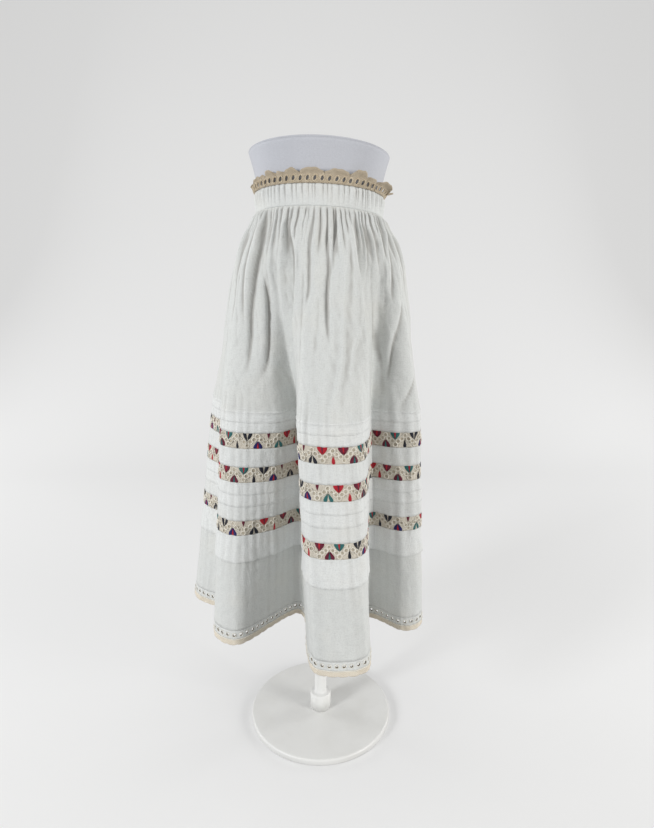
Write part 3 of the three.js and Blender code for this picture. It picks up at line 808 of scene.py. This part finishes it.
def tuck(stitch, edge, rise, steps, doubled=1.0, under=2.4):
    """A tuck's outer layer down to its free edge, its turn back under, and the cloth below it."""
    rows = []
    for share in np.linspace(0, 1, steps):
        rows.append((stitch + (edge - stitch) * share, CLOTH_LIFT + 0.3 + rise * share**0.8, doubled, share))
    top = CLOTH_LIFT + 0.3 + rise
    rows.append((edge + 0.25, top - 0.3, doubled, 1.0))
    rows.append((edge, top - 0.6, doubled, 1.0))
    rows.append((edge - under, CLOTH_LIFT + 0.55, doubled, 0.3))
    rows.append((edge - under + 0.3, CLOTH_LIFT, doubled, 0.0))
    return rows


def across_half(half, columns, gap):
    """Shares of the way round of a half's columns, with a gap left at both side seams."""
    start, end = HALVES[half]
    return np.linspace(start + gap, end - gap, columns + 1)


def swept_cloth(name, half, columns, rows, finish):
    drop, lift, doubled, flap = np.array(rows, float).T
    share = across_half(half, columns, SIDE_GAP / hem_ring.total)[:, None]
    lifted = lift + flap * 0.5 * (flap_wave.at(share, drop) + 0.4)
    vertices = cloth_point(share, drop[None, :], lifted)
    widths = Level(float(drop.mean())).length(share)
    uv = together(widths, drop[None, :])
    marks = {
        "doubled": np.broadcast_to(doubled, vertices.shape[:2]),
        # Painted shade greys the cotton where it lies deep in a fold.
        "painted_fold_shade": painted_fold_shade(relief, share, drop[None, :]),
    }
    faces = grid_faces(columns, len(rows))
    return add_wall(make_piece(name, vertices, faces, [finish], uv, marks), CLOTH_WALL)


def declare(piece, half, node, top, end, with_pieces=(), on=None):
    """Puts the piece in its node's place: it hangs from the root, and the node's own part is hidden. The on
    argument is not used."""
    widest = float(np.diff(Level(end).length(np.array(HALVES[half])))[0])
    dress(piece, [f"{node}_{half}"])
    on = on or [f"cotton_tier_{half}"]
    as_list(on)


# Drop and lift of the rows that turn in under the casing
UNDER_CASING = [(0.4, -3.4), (0.45, -0.9)]


def upper_panel(half):
    fine = np.concatenate([np.linspace(0.9, 24, 13), np.linspace(28, 120, 25), np.linspace(126, 346, 42)])
    rows = [(drop, CLOTH_LIFT + lift, 0.0, 0.0) for drop, lift in UNDER_CASING]
    rows += [(drop, CLOTH_LIFT, 0.0, 0.0) for drop in fine]
    start = DROP["first_tuck"]
    rows += [(start - 1.2, CLOTH_LIFT + 0.1, 0.3, 0.0), (start - 0.5, CLOTH_LIFT + 1.3, 1.0, 0.1)]
    rows += [(start + 0.8, CLOTH_LIFT + 1.5, 1.0, 0.1)]
    rows += tuck(start + 2.4, DROP["second_tuck"], 0.55, 5)
    rows += plain(DROP["second_tuck"] + 1.5, DROP["band_one_top"] + 0.6, 4, 1.0, CLOTH_LIFT + 0.5)
    piece = swept_cloth(f"cotton_tier_{half}", half, 330, rows, white_cotton)
    end = DROP["band_one_top"]
    declare(piece, half, "upper_panel", 0, end, on=["waist_casing"])


def cotton_strip(name, node, half, top, end, tucks=()):
    """A strip between two bands. Its edges lap over the lace."""
    lap, over = 0.6, 0.5
    rows = plain(top - lap, top + 2, 2, 0.6, CLOTH_LIFT + over)
    last = top + 4
    for edge in tucks:
        rows += tuck(last, edge, 0.5, 5)
        last = edge
    rows += plain(last + 2, end + lap, 4, 0.6, CLOTH_LIFT + over)
    piece = swept_cloth(f"{name}_{half}", half, 300, rows, white_cotton)
    declare(piece, half, node, top, end)


def lower_tier(half):
    top, edge, end = DROP["band_three_end"], DROP["deep_tuck"], DROP["hem_tier_end"]
    rows = plain(top - 0.6, top + 3, 2, 1.0, CLOTH_LIFT + 0.5)
    rows += tuck(top + 5, edge, 2.0, 12, 1.0, 6.0)
    rows += plain(edge - 4, end + 0.1, 5)
    piece = swept_cloth(f"hem_tier_{half}", half, 320, rows, white_cotton)
    declare(piece, half, "lower_panel", top, end)


# Lace bands. Each motif has a number along its half of a band: the rows are
# lengths round from the left back valley, in millimetres, and the number of the motif there.
BANDS = {
    "one": {
        "front": [(285, 4), (399, 7), (551, 11), (654, 14), (773, 18), (843, 20)],
        "back": [(140, 6)],
    },
    "two": {
        "front": [(293, 3), (401, 6), (444, 7), (599, 11), (669, 13), (823, 18), (906, 20)],
        "back": [(160, 3)],
    },
    "three": {
        "front": [(313, 5), (391, 7), (475, 9), (644, 13), (710, 15), (884, 20), (923, 21)],
        "back": [(160, 6)],
    },
}
MOTIF_PITCH = 36.5
MOTIF_LEVEL = 6.0
TOP_MOTIFS = ["black pair", "burgundy drop", "red heart", "burgundy heart", "teal heart"]
HEART_CORES = {"red": "burgundy", "burgundy": "red", "teal": "red"}
LACE_LIFT = 0.1


class Band:
    def __init__(self, name, half):
        self.name = name
        self.half = half
        self.top = DROP[f"band_{name}_top"]
        self.end = DROP[f"band_{name}_end"]
        self.height = self.end - self.top
        self.level = Level(self.top + MOTIF_LEVEL)
        self.anchors = BANDS[name][half]
        self.first_pair = 1 if name == "one" else 0
        self.rounds = 1 if half == "back" else 0

    def length_of(self, number):
        lengths, numbers = np.array(self.anchors, float).T
        before = lengths[0] + (number - numbers[0]) * MOTIF_PITCH
        after = lengths[-1] + (number - numbers[-1]) * MOTIF_PITCH
        inside = np.interp(number, numbers, lengths)
        return np.where(number < numbers[0], before, np.where(number > numbers[-1], after, inside))

    def numbers(self):
        """Numbers of the motifs whose middle lies in this half of the skirt."""
        start, end = HALVES[self.half]
        every = np.arange(-60, 60)
        share = self.share(every)
        return every[(share > start) & (share < end)]

    def share(self, number, along=0.0):
        """The share of the way round at a distance along from a motif's middle."""
        return self.level.share(self.length_of(number) + along) + self.rounds


LEAF_BELLY = 0.72


def leaf(root, tip, width, height, columns=5, rows=10):
    """A padded shape from its narrow root to its round tip, as grid points (along, down, lift)."""
    root, tip = np.array(root, float), np.array(tip, float)
    t = np.linspace(0.02, 0.995, rows)
    across = np.linspace(-1, 1, columns)
    swelling = np.sin(math.pi / 2 * np.minimum(1, t / LEAF_BELLY)) ** 1.1
    closing = np.sqrt(1 - (np.maximum(0, t - LEAF_BELLY) / (1 - LEAF_BELLY)) ** 2)
    half = width / 2 * swelling * closing
    side = np.array([-(tip - root)[1], (tip - root)[0]]) / np.linalg.norm(tip - root)
    middle = root + (tip - root) * t[:, None]
    points = middle[None, :, :] + side * (across[:, None] * half[None, :])[..., None]
    dome = height * (1 - across[:, None] ** 2) ** 0.6 * np.minimum(1, 4 * (1.04 - t[None, :])) ** 0.5
    return points[..., 0], points[..., 1], dome


def pair_shapes(colour, core, from_edge, reach, spread, width):
    """Two leaves that meet in a point, with a core of another colour between them where one is given.
    from_edge turns a distance from the band's edge into one from its top."""
    shapes = []
    for side in (-1, 1):
        root, tip = (side * 0.5, from_edge(reach)), (side * spread, from_edge(0))
        shapes.append((colour, leaf(root, tip, width, 1.1)))
    if core:
        shapes.append((core, leaf((0, from_edge(reach - 2)), (0, from_edge(0.4)), 4.6, 1.5)))
    return shapes


def top_motif(number):
    """The upper motifs, whose tops are lapped by the cotton."""
    kind = TOP_MOTIFS[number % 5]
    colour = kind.split()[0]

    def below_top(distance):
        return distance - 1.6

    if kind.endswith("drop"):
        return [(colour, leaf((0, below_top(12.4)), (0, below_top(0)), 5.4, 1.2))]
    if kind.endswith("pair"):
        return pair_shapes(colour, None, below_top, 16.4, 7.0, 7.0)
    return pair_shapes(colour, HEART_CORES[colour], below_top, 15.4, 5.8, 8.6)


def bottom_motif(band, number):
    """The motif that points up between a top motif and the next."""
    kind = number % 5

    def above_end(distance):
        return band.height + 0.6 - distance

    if kind == 0:
        return pair_shapes("navy", "red", above_end, 14.8, 6.0, 7.2)
    if kind == 1:
        colour = "black" if (number // 5 + band.first_pair) % 2 else "teal"
        return pair_shapes(colour, None, above_end, 14.6, 6.6, 6.4)
    if kind == 3:
        return pair_shapes("burgundy", "teal", above_end, 14.8, 6.0, 7.2)
    return [("red" if kind == 2 else "black", leaf((0, above_end(15.2)), (0, above_end(0)), 5.8, 1.2))]


def band_motifs(band):
    names = list(THREADS)
    vertices, faces, uvs, finishes = [], [], [], []
    count = 0
    for number in band.numbers():
        placed = ((number, top_motif(number)), (number + 0.5, bottom_motif(band, number)))
        for place, shapes in placed:
            for colour, (along, down, dome) in shapes:
                clear = ease(down, -0.5, 2.2) * ease(band.height - down, -0.5, 2.2)
                lift = LACE_LIFT + 0.3 + dome * clear
                points = cloth_point(band.share(place, along), band.top + down, lift)
                vertices.append(points.reshape(-1, 3))
                columns, rows = along.shape
                faces.append(grid_faces(columns - 1, rows)[:, ::-1] + count)
                steps = np.meshgrid(np.arange(columns) * 1.2, np.arange(rows) * 1.6, indexing="ij")
                grid = np.stack(steps, -1)
                uvs.append(grid.reshape(-1, 2) + number * 7.0)
                finishes += [names.index(colour)] * len(faces[-1])
                count += columns * rows
    piece = make_piece(
        f"stitched_motifs_{band.name}_{band.half}",
        np.vstack(vertices),
        np.vstack(faces),
        [threads[name] for name in names],
        np.vstack(uvs),
        face_finish=finishes,
    )
    return dress(piece)


RING_ROUTE = [(0.0, 22.6), (0.14, 16.2), (0.33, 12.2), (0.5, 6.2), (0.67, 12.2), (0.86, 16.2)]
RING_SIZE = {"radius": 3.8, "yarn": 1.05, "middle": 2.0}


def band_rings(band):
    """Crocheted rings that wind between the motifs of the two rows."""
    shares, drops = [], []
    for number in band.numbers():
        for part, down in RING_ROUTE:
            shares.append(float(band.share(number + part)))
            drops.append(band.top + down)
    point, out, along, _ = axes_at(cloth_point, np.array(shares), np.array(drops), LACE_LIFT + 0.9)
    rng = np.random.default_rng(len(shares))
    sizes = rng.uniform(0.88, 1.12, (len(shares), 1)) * same_size(len(shares))
    rings = repeat(
        f"crochet_rings_{band.name}_{band.half}", "ring", point, out, along, sizes,
        ring_radius=RING_SIZE["radius"] * MM, yarn_radius=RING_SIZE["yarn"] * MM, sides=12, finish=cream_yarn,
    )
    # Painted shade: a darker flat round in each ring's middle.
    ring_shades = repeat(
        f"ring_middles_{band.name}_{band.half}", "spot", point - out * 0.45, out, along, sizes,
        radius=RING_SIZE["middle"] * MM, finish=painted_ring_shade,
    )
    return [dress(rings), dress(ring_shades)]


def lace_band(name, half):
    band = Band(name, half)
    rows = plain(band.top - 0.4, band.end + 0.4, 3, 0.0, LACE_LIFT)
    ground = swept_cloth(f"lace_ground_{name}_{half}", half, 300, rows, ecru_net)
    trim = [band_motifs(band), *band_rings(band)]
    declare(ground, half, f"lace_band_{name}", band.top, band.end, trim)


# Waist casing
casing_ribs = Puffs(80, (2.8, 5.6), (400, 500), (-60, -50), 1.8, seed=3)
casing_wander = Ripple(14, 1.6, seed=41)


def casing_rib(share, drop):
    return casing_ribs.at(share + 0.0011 * casing_wander.at(share, drop), drop)


def waist_casing():
    columns, rows_out, rows_in = 1100, 16, 4
    down = np.concatenate([np.linspace(0, 1, rows_out), np.linspace(1, 0, rows_in)])
    outer = np.concatenate([np.ones(rows_out), np.zeros(rows_in)])
    share = np.linspace(LEFT_SIDE, LEFT_SIDE + 1, columns, endpoint=False)[:, None]
    drop = -CASING_HEIGHT + down * CASING_HEIGHT
    slack_ends = (0.45 + 0.55 * ease(down, 0.0, 0.18)) * (1 - 0.45 * ease(down, 0.9, 1))
    ribs = casing_rib(share, drop) * slack_ends
    bulge = 0.9 * np.clip(np.sin(math.pi * np.clip(down, 0.01, 0.99)), 0, 1) ** 0.5
    lift = np.where(outer > 0, bulge - 1.0 + ribs, -1.6)
    seam = 0.5 * pucker.at(share, 0 * down) * ease(down, 0.8, 1) * outer
    vertices = surface(share, drop + seam, lift)
    uv = together(Level(0).length(share), drop[None, :])
    marks = {
        "doubled": np.full(vertices.size // 3, 0.45),
        # Painted shade greys the casing in the valleys between its ribs.
        "painted_fold_shade": painted_fold_shade(casing_rib, share, drop, 2.2) * slack_ends,
    }
    faces = grid_faces(columns, len(drop), True, True)
    piece = make_piece("gathered_casing", vertices, faces, [white_cotton], uv, marks)
    dress(piece, ["waist_casing"])


# Sheets with a hole in each of their cells
CELL_SIDE = 5
CELL_RINGS = 3


def cell_outline():
    """Points round a cell's edge from its lower left corner, counterclockwise, from -1 to 1."""
    side = np.linspace(-1, 1, CELL_SIDE, endpoint=False)
    edge = np.ones(CELL_SIDE)
    parts = [(side, -edge), (edge, side), (-side, edge), (-edge, -side)]
    return np.concatenate([np.stack(part, -1) for part in parts])


def pierced_cells(start, end, cells, top, bottom, middle, hole):
    """Points (share, drop) and faces of a row of cells. hole gives its points' offsets, in share and
    drop, for the directions to the cell's edge."""
    outline = cell_outline()
    step = (end - start) / cells
    points, faces = [], []
    count = len(outline)
    for cell in range(cells):
        centre = start + step * (cell + 0.5)
        down = (top + bottom) / 2 - outline[:, 1] * (bottom - top) / 2
        edge = np.stack([centre + outline[:, 0] * step / 2, down], -1)
        inner = np.array([centre, middle]) + hole(edge - np.array([centre, middle]))
        base = cell * count * CELL_RINGS
        for share in np.linspace(0, 1, CELL_RINGS):
            points.append(edge + (inner - edge) * share)
        for ring in range(CELL_RINGS - 1):
            here = base + ring * count + np.arange(count)
            after = base + ring * count + (np.arange(count) + 1) % count
            faces.append(np.stack([here, after, after + count, here + count], -1))
    return np.vstack(points), np.vstack(faces)


def cell_middles(start, end, cells):
    return start + (end - start) * (np.arange(cells) + 0.5) / cells


def merged(points, faces, grain):
    """The same faces with points that lie on each other made one."""
    rounded = np.round(points / grain).astype(np.int64)
    _, first, index = np.unique(rounded, axis=0, return_index=True, return_inverse=True)
    return points[first], index.ravel()[faces]


def leaning_oval(half_width, half_height, lean, per_share):
    """A hole that is an oval leaning from upright, for pierced_cells."""
    def hole(direction):
        x, y = direction[:, 0] * per_share, direction[:, 1]
        angle = np.arctan2(y, x) - lean
        radius = half_width * half_height / np.hypot(half_height * np.cos(angle), half_width * np.sin(angle))
        return np.stack([radius * np.cos(angle + lean) / per_share, radius * np.sin(angle + lean)], -1)
    return hole


# Crocheted ruffle that stands above the casing
LACE_FOOT = -CASING_HEIGHT - SEAM_GAP
RUFFLE = {"height": 23.5, "cells": 60, "flare": 4.5, "wave": 6.4, "lift": 3.0, "curl": 3.8}
RUFFLE_HOLE = {"half_width": 2.9, "half_height": 5.0, "lean": 0.4, "middle": 7.6}
RUFFLE_BORDER = 13.5
ruffle_waves = Puffs(20, (0.35, 1.6), (900, 950), (-120, -110), 2.7, seed=19)
ruffle_edge = Ripple(37, 0.0, seed=61)
# Where the ruffle falls open: share of the way round, half width and how far, in millimetres
RUFFLE_OPENINGS = [(RIGHT_SIDE - 0.02, 0.055, 10.0), (LEFT_SIDE + 0.022, 0.045, 6.0)]


def ruffle_point(share, drop, lift):
    height = (LACE_FOOT - drop) / RUFFLE["height"]
    crown = ruffle_waves.at(share, drop) - 0.45
    curl = RUFFLE["curl"] * ease(height, 0.55, 1.0)
    opened = 0
    for place, width, far in RUFFLE_OPENINGS:
        apart = np.mod(share - place + 0.5, 1) - 0.5
        opened = opened + far * np.exp(-((apart / width) ** 2))
    flared = RUFFLE["flare"] + RUFFLE["wave"] * 2 * crown * height
    out = lift + height * flared + curl * (0.4 + 0.6 * crown)
    point = surface(share, drop, out + 0.8 * opened * height)
    uneven = 0.8 * ruffle_edge.at(share, drop)
    point[..., 2] += height**2 * (RUFFLE["lift"] * 2 * crown - 1.5 - 1.1 * opened + uneven) - curl * 0.6
    return point


def waist_ruffle(half):
    start, end = HALVES[half]
    gap = 0.0003
    middle = LACE_FOOT - RUFFLE_HOLE["middle"]
    cells = RUFFLE["cells"] // 2
    sizes = (RUFFLE_HOLE["half_width"], RUFFLE_HOLE["half_height"], RUFFLE_HOLE["lean"])
    hole = leaning_oval(*sizes, WAIST_ROUND)
    border = LACE_FOOT - RUFFLE_BORDER
    points, faces = pierced_cells(start + gap, end - gap, cells, border, LACE_FOOT, middle, hole)
    columns = cells * CELL_SIDE
    rows = np.linspace(LACE_FOOT - RUFFLE["height"], border, 6)
    share, drop = np.meshgrid(across_half(half, columns, gap), rows, indexing="ij")
    points = np.vstack([points, np.stack([share, drop], -1).reshape(-1, 2)])
    faces = np.vstack([faces, grid_faces(columns, len(rows)) + len(points) - share.size])
    points, faces = merged(points, faces, np.array([1e-6, 1e-3]))
    uv = points * np.array([WAIST_ROUND, 1.0])
    piece = make_piece(
        f"crochet_ruffle_{half}", ruffle_point(points[:, 0], points[:, 1], 0.4), faces, [taupe_crochet], uv,
    )
    add_wall(piece, 1.5)
    centres = cell_middles(start + gap, end - gap, cells)
    loops = ruffle_loops(half, centres, np.full(cells, middle))
    dress(piece, [f"waist_ruffle_{half}"])


def ruffle_loops(half, share, drop):
    """A yarn ring round each hole of the ruffle."""
    point, out, along, down = axes_at(ruffle_point, share, drop, 1.1, 0.5)
    lean = RUFFLE_HOLE["lean"]
    heading = along * math.cos(lean) + down * math.sin(lean)
    half_width, half_height = (RUFFLE_HOLE[side] + 0.5 for side in ("half_width", "half_height"))
    sizes = same_size(len(share), (1, half_height / half_width, 1))
    piece = repeat(
        f"ruffle_loops_{half}", "ring", point, out, heading, sizes,
        ring_radius=half_width * MM, yarn_radius=1.05 * MM, sides=14, finish=taupe_yarn,
    )
    return dress(piece)


# Eyelet beading and crocheted edging at the hem
EYELET_CELLS = {"front": 82, "back": 78}
EYELET_RADIUS = 3.0
# The overcast rim outside each eyelet, and a dark ring behind it that is painted shade in the hole:
# name, lift, radius, yarn radius and yarn
EYELET_RIMS = [
    ("eyelet_rims", CLOTH_LIFT + 0.4, 3.5, 0.8, white_yarn),
    ("eyelet_shade_rings", CLOTH_LIFT - 1.3, 2.9, 0.95, eyelet_shade_yarn),
]


def eyelet_beading(half):
    start, end = HALVES[half]
    gap = 0.0001
    top, bottom = DROP["hem_tier_end"] - 0.6, DROP["beading_end"] - 0.15
    hole = leaning_oval(EYELET_RADIUS, EYELET_RADIUS, 0.0, hem_ring.total)
    cells = EYELET_CELLS[half]
    points, faces = pierced_cells(start + gap, end - gap, cells, top, bottom, DROP["eyelet_middle"], hole)
    points, faces = merged(points, faces, np.array([1e-6, 1e-3]))
    uv = points * np.array([hem_ring.total, 1.0])
    tucked_in = 0.3 * (1 - ease(points[:, 1], top, top + 2.5))
    vertices = cloth_point(points[:, 0], points[:, 1], CLOTH_LIFT - tucked_in)
    # Painted shade greys the beading where it lies deep in a fold.
    marks = {"doubled": np.full(len(points), 0.4), "painted_fold_shade": painted_fold_shade(relief, points[:, 0], points[:, 1])}
    piece = add_wall(make_piece(f"beading_{half}", vertices, faces, [white_cotton], uv, marks), 0.9)
    centres = cell_middles(start + gap, end - gap, cells)
    rims = []
    for name, lift, radius, yarn_radius, rim_yarn in EYELET_RIMS:
        drops = np.full(cells, DROP["eyelet_middle"])
        point, out, along, _ = axes_at(cloth_point, centres, drops, lift)
        rims.append(dress(repeat(
            f"{name}_{half}", "ring", point, out, along, same_size(cells, (1, 1, 0.8)),
            ring_radius=radius * MM, yarn_radius=yarn_radius * MM, sides=14, finish=rim_yarn,
        )))
    declare(piece, half, "eyelet_beading", top, bottom, rims)


SCALLOP = {"pitch": 18.5, "depth": 2.3, "ripple": 0.5}


def crochet_edging(half):
    columns, rows = 600, 8
    top, bottom = DROP["beading_end"], DROP["hem"] - 0.3
    share = across_half(half, columns, 0.0001)[:, None]
    down = np.linspace(0, 1, rows)
    phase = Level(DROP["hem"]).length(share) / SCALLOP["pitch"] * math.pi
    scallop = 1 - np.abs(np.sin(phase)) ** 0.7
    drop = top + 0.15 + (bottom - top - SCALLOP["depth"] * scallop) * down
    lift = 0.5 + SCALLOP["ripple"] * np.cos(2 * phase) * down + 0.35 * np.sin(2 * math.pi * 3 * down)
    vertices = cloth_point(share, drop, lift)
    uv = together(Level(DROP["hem"]).length(share), drop)
    faces = grid_faces(columns, rows)
    piece = make_piece(f"hem_crochet_{half}", vertices, faces, [hem_crochet], uv)
    add_wall(piece, 1.4)
    declare(piece, half, "crochet_edging", top, DROP["hem"], [hem_cord(half)])


def hem_cord(half):
    """A cream cord laid along the top of the edging."""
    columns, sides, radius = 520, 6, 0.95
    share = across_half(half, columns, 0.0002)[:, None]
    turn = 2 * math.pi * np.arange(sides) / sides
    drop = DROP["beading_end"] + radius * np.sin(turn)
    vertices = cloth_point(share, drop, CLOTH_LIFT + 0.9 + radius * np.cos(turn))
    faces = grid_faces(columns, sides, closed=True)[:, ::-1]
    piece = make_piece(f"hem_cord_{half}", vertices, faces, [cream_yarn])
    return dress(piece)


# Display form
FORM_ROWS = [
    (-104, 126, 98, 1.0),
    (-80, 119, 92, 1.0),
    (-58, 114.5, 88.5, 1.0),
    (-35, 113.5, 87.5, 1.0),
    (0, 113.5, 87.5, 1.0),
    (35, 120, 89, 0.9),
    (75, 131, 89, 0.7),
    (120, 138, 87, 0.4),
    (160, 136, 82, 0.2),
    (195, 118, 70, 0.0),
    (212, 80, 48, 0.0),
]
FORM_COLUMNS = 112
FORM_CAP = {"height": 12.0, "seam": 0.3}
BASE = {"radius": 150.0, "height": 14.0, "edge": 4.0}
POLE = {"radius": 12.5}
SOCKET = {"radius": 22.0, "height": 34.0}


def form_rings(drops, widths, depths, dips):
    """Points of an oval loft, a row for each drop."""
    angle = np.linspace(0, 2 * math.pi, FORM_COLUMNS, endpoint=False)[:, None]
    point = together(widths * np.cos(angle), depths * np.sin(angle))
    height = tilted_height(point, drops, dips)
    return np.concatenate([point, height[..., None]], -1)


def lofted(name, rings, node, finish):
    columns, rows = rings.shape[:2]
    faces = grid_faces(columns, rows, True).tolist()
    faces.append([column * rows for column in range(columns)])
    faces.append([column * rows + rows - 1 for column in reversed(range(columns))])
    return dress(make_piece(name, rings, faces, [finish]), [node])


def display_form():
    rows = np.array(FORM_ROWS, float)
    drops = np.concatenate([np.linspace(rows[0, 0], 195, 60), np.linspace(196, rows[-1, 0], 8)])
    widths, depths, dips = (smooth_through(drops, rows[:, 0], rows[:, column]) for column in (1, 2, 3))
    rings = form_rings(drops, widths, depths, dips)
    lofted("jersey_torso", rings, "form_torso", jersey_cover)
    turn = np.linspace(0.06, 1, 12)
    top = rows[0]
    share = np.sin(turn * math.pi / 2) ** 0.8
    rise = FORM_CAP["height"] * np.cos(turn * math.pi / 2)
    drops = top[0] - FORM_CAP["seam"] - rise
    rings = form_rings(drops, top[1] * share, top[2] * share, np.ones(len(share)))
    lofted("jersey_cap", rings, "form_cap", jersey_cover)


def turned(name, profile, node, sides=72):
    """A piece turned on the upright axis, from (radius, height) points down its outside."""
    radius, height = np.array(profile, float).T
    angle = np.linspace(0, 2 * math.pi, sides, endpoint=False)[:, None]
    rings = together(radius * np.cos(angle), radius * np.sin(angle), height)
    return lofted(name, rings, node, white_steel)


def arc(centre, radius, start, end, steps=6):
    """Points on an arc in a (radius, height) profile, by angles in degrees from outwards."""
    angles = np.radians(np.linspace(start, end, steps))
    return [(centre[0] + radius * math.cos(a), centre[1] + radius * math.sin(a)) for a in angles]


def stand():
    radius, height, edge = BASE["radius"], BASE["height"], BASE["edge"]
    rim = arc((radius - edge, height - edge), edge, 90, 0) + arc((radius - edge, edge), edge, 0, -90)
    turned("stand_base", [(30, height), *rim, (30, 0)], "form_base")
    foot = height + SEAM_GAP
    shoulder = foot + SOCKET["height"]
    top = SEAM_HEIGHT - FORM_ROWS[-1][0] - SEAM_GAP
    cone = arc((SOCKET["radius"] - 3, shoulder), 3, 90, 0, 4)
    pole = [(POLE["radius"], top), (POLE["radius"], shoulder + 9), (POLE["radius"] + 1.2, shoulder + 3)]
    turned("stand_pole", [*pole, *cone, (SOCKET["radius"], foot)], "form_pole", 48)


# Seam stitches that show
STITCH = {"pitch": 2.6, "length": 1.9, "thickness": 0.55}


def seam_stitches(half):
    sizes = (STITCH["pitch"], STITCH["length"], STITCH["thickness"])
    piece = stitch_line(f"casing_seam_{half}", 2.2, CLOTH_LIFT + 0.35, *sizes, white_yarn, half)
    dress(piece)


# Camera, floor and light
camera_data = bpy.data.cameras.new("camera")
camera = link("camera", camera_data)
camera_data.lens = 23.913
camera_data.sensor_width = 36.0
camera.location = (0.014, -1.06, 0.8904)
camera.rotation_euler = (math.radians(90 - 11.71), 0, 0)
scene.camera = camera
scene.view_settings.view_transform = "Standard"


def stage_finish():
    """Pale paper that glows a little, as a lit studio backdrop does."""
    finish = Finish("pale_backdrop")
    grain = finish.noise(finish.place(), 2.0, 2.0)
    colour = finish.mix(grain, (202, 202, 202), (203, 203, 203))
    glow = {"Roughness": 1.0, "Emission Color": finish.colour((234, 234, 234)), "Emission Strength": 0.3}
    return finish.close(colour, grain, 0.1, glow, 0.1)


def backdrop():
    """A floor that curves up into a wall behind the form."""
    half_width, front, back, bend, height = 6000, -4000, 3200, 1500, 5200
    profile = [(front, 0.0), (back - bend, 0.0)]
    turn = np.radians(np.linspace(0, 90, 16))
    profile += [(back - bend + bend * math.sin(a), bend - bend * math.cos(a)) for a in turn[1:]]
    profile += [(back, height)]
    sides = np.linspace(-half_width, half_width, 12)
    vertices = [(x, y, z) for x in sides for y, z in profile]
    faces = grid_faces(len(sides) - 1, len(profile))[:, ::-1]
    floor = make_piece("backdrop", vertices, faces, [stage_finish()])
    floor.visible_diffuse = False
    floor.visible_glossy = False


def soft_light(name, place, aim, size, power, colour):
    data = bpy.data.lights.new(name, "AREA")
    data.shape = "RECTANGLE"
    data.size, data.size_y = size
    data.energy = power
    data.color = colour
    light = link(name, data)
    light.location = place
    light.rotation_euler = (Vector(aim) - Vector(place)).to_track_quat("-Z", "Y").to_euler()


def studio():
    world = bpy.data.worlds.new("studio")
    scene.world = world
    world.use_nodes = True
    tree = world.node_tree
    background = tree.nodes["Background"]
    background.inputs[0].default_value = (1.0, 0.995, 0.98, 1)
    facing = add_node(tree, "ShaderNodeTexCoord").outputs["Generated"]
    height = add_node(tree, "ShaderNodeSeparateXYZ", None, {0: facing}).outputs["Z"]
    values = {"Value": height, "From Min": -0.6, "From Max": 0.7, "To Min": 0.4, "To Max": 0.5}
    dimming = add_node(tree, "ShaderNodeMapRange", None, values)
    tree.links.new(dimming.outputs[0], background.inputs[1])
    soft_light("key", (-2.9, -2.3, 1.6), (0, 0, 0.6), (0.8, 1.0), 84, (0.98, 0.99, 1.0))
    soft_light("fill", (3.3, -1.7, 1.1), (0, 0, 0.5), (1.3, 1.5), 74, (1.0, 0.99, 0.97))
    for side in (-1, 1):
        soft_light("rim", (side * 2.9, 1.5, 1.6), (0, 0, 0.6), (1.0, 1.2), 22, (0.98, 0.99, 1.0))


for side_name in HALVES:
    upper_panel(side_name)
    for band_name in BANDS:
        lace_band(band_name, side_name)
    cotton_strip("cotton_strip", "plain_strip", side_name, DROP["band_one_end"], DROP["band_two_top"])
    cotton_strip(
        "pin_tucked_strip", "tucked_strip", side_name, DROP["band_two_end"], DROP["band_three_top"],
        (DROP["third_tuck"], DROP["fourth_tuck"]),
    )
    lower_tier(side_name)
    eyelet_beading(side_name)
    crochet_edging(side_name)
    waist_ruffle(side_name)
    seam_stitches(side_name)
waist_casing()
display_form()
stand()
backdrop()
studio()
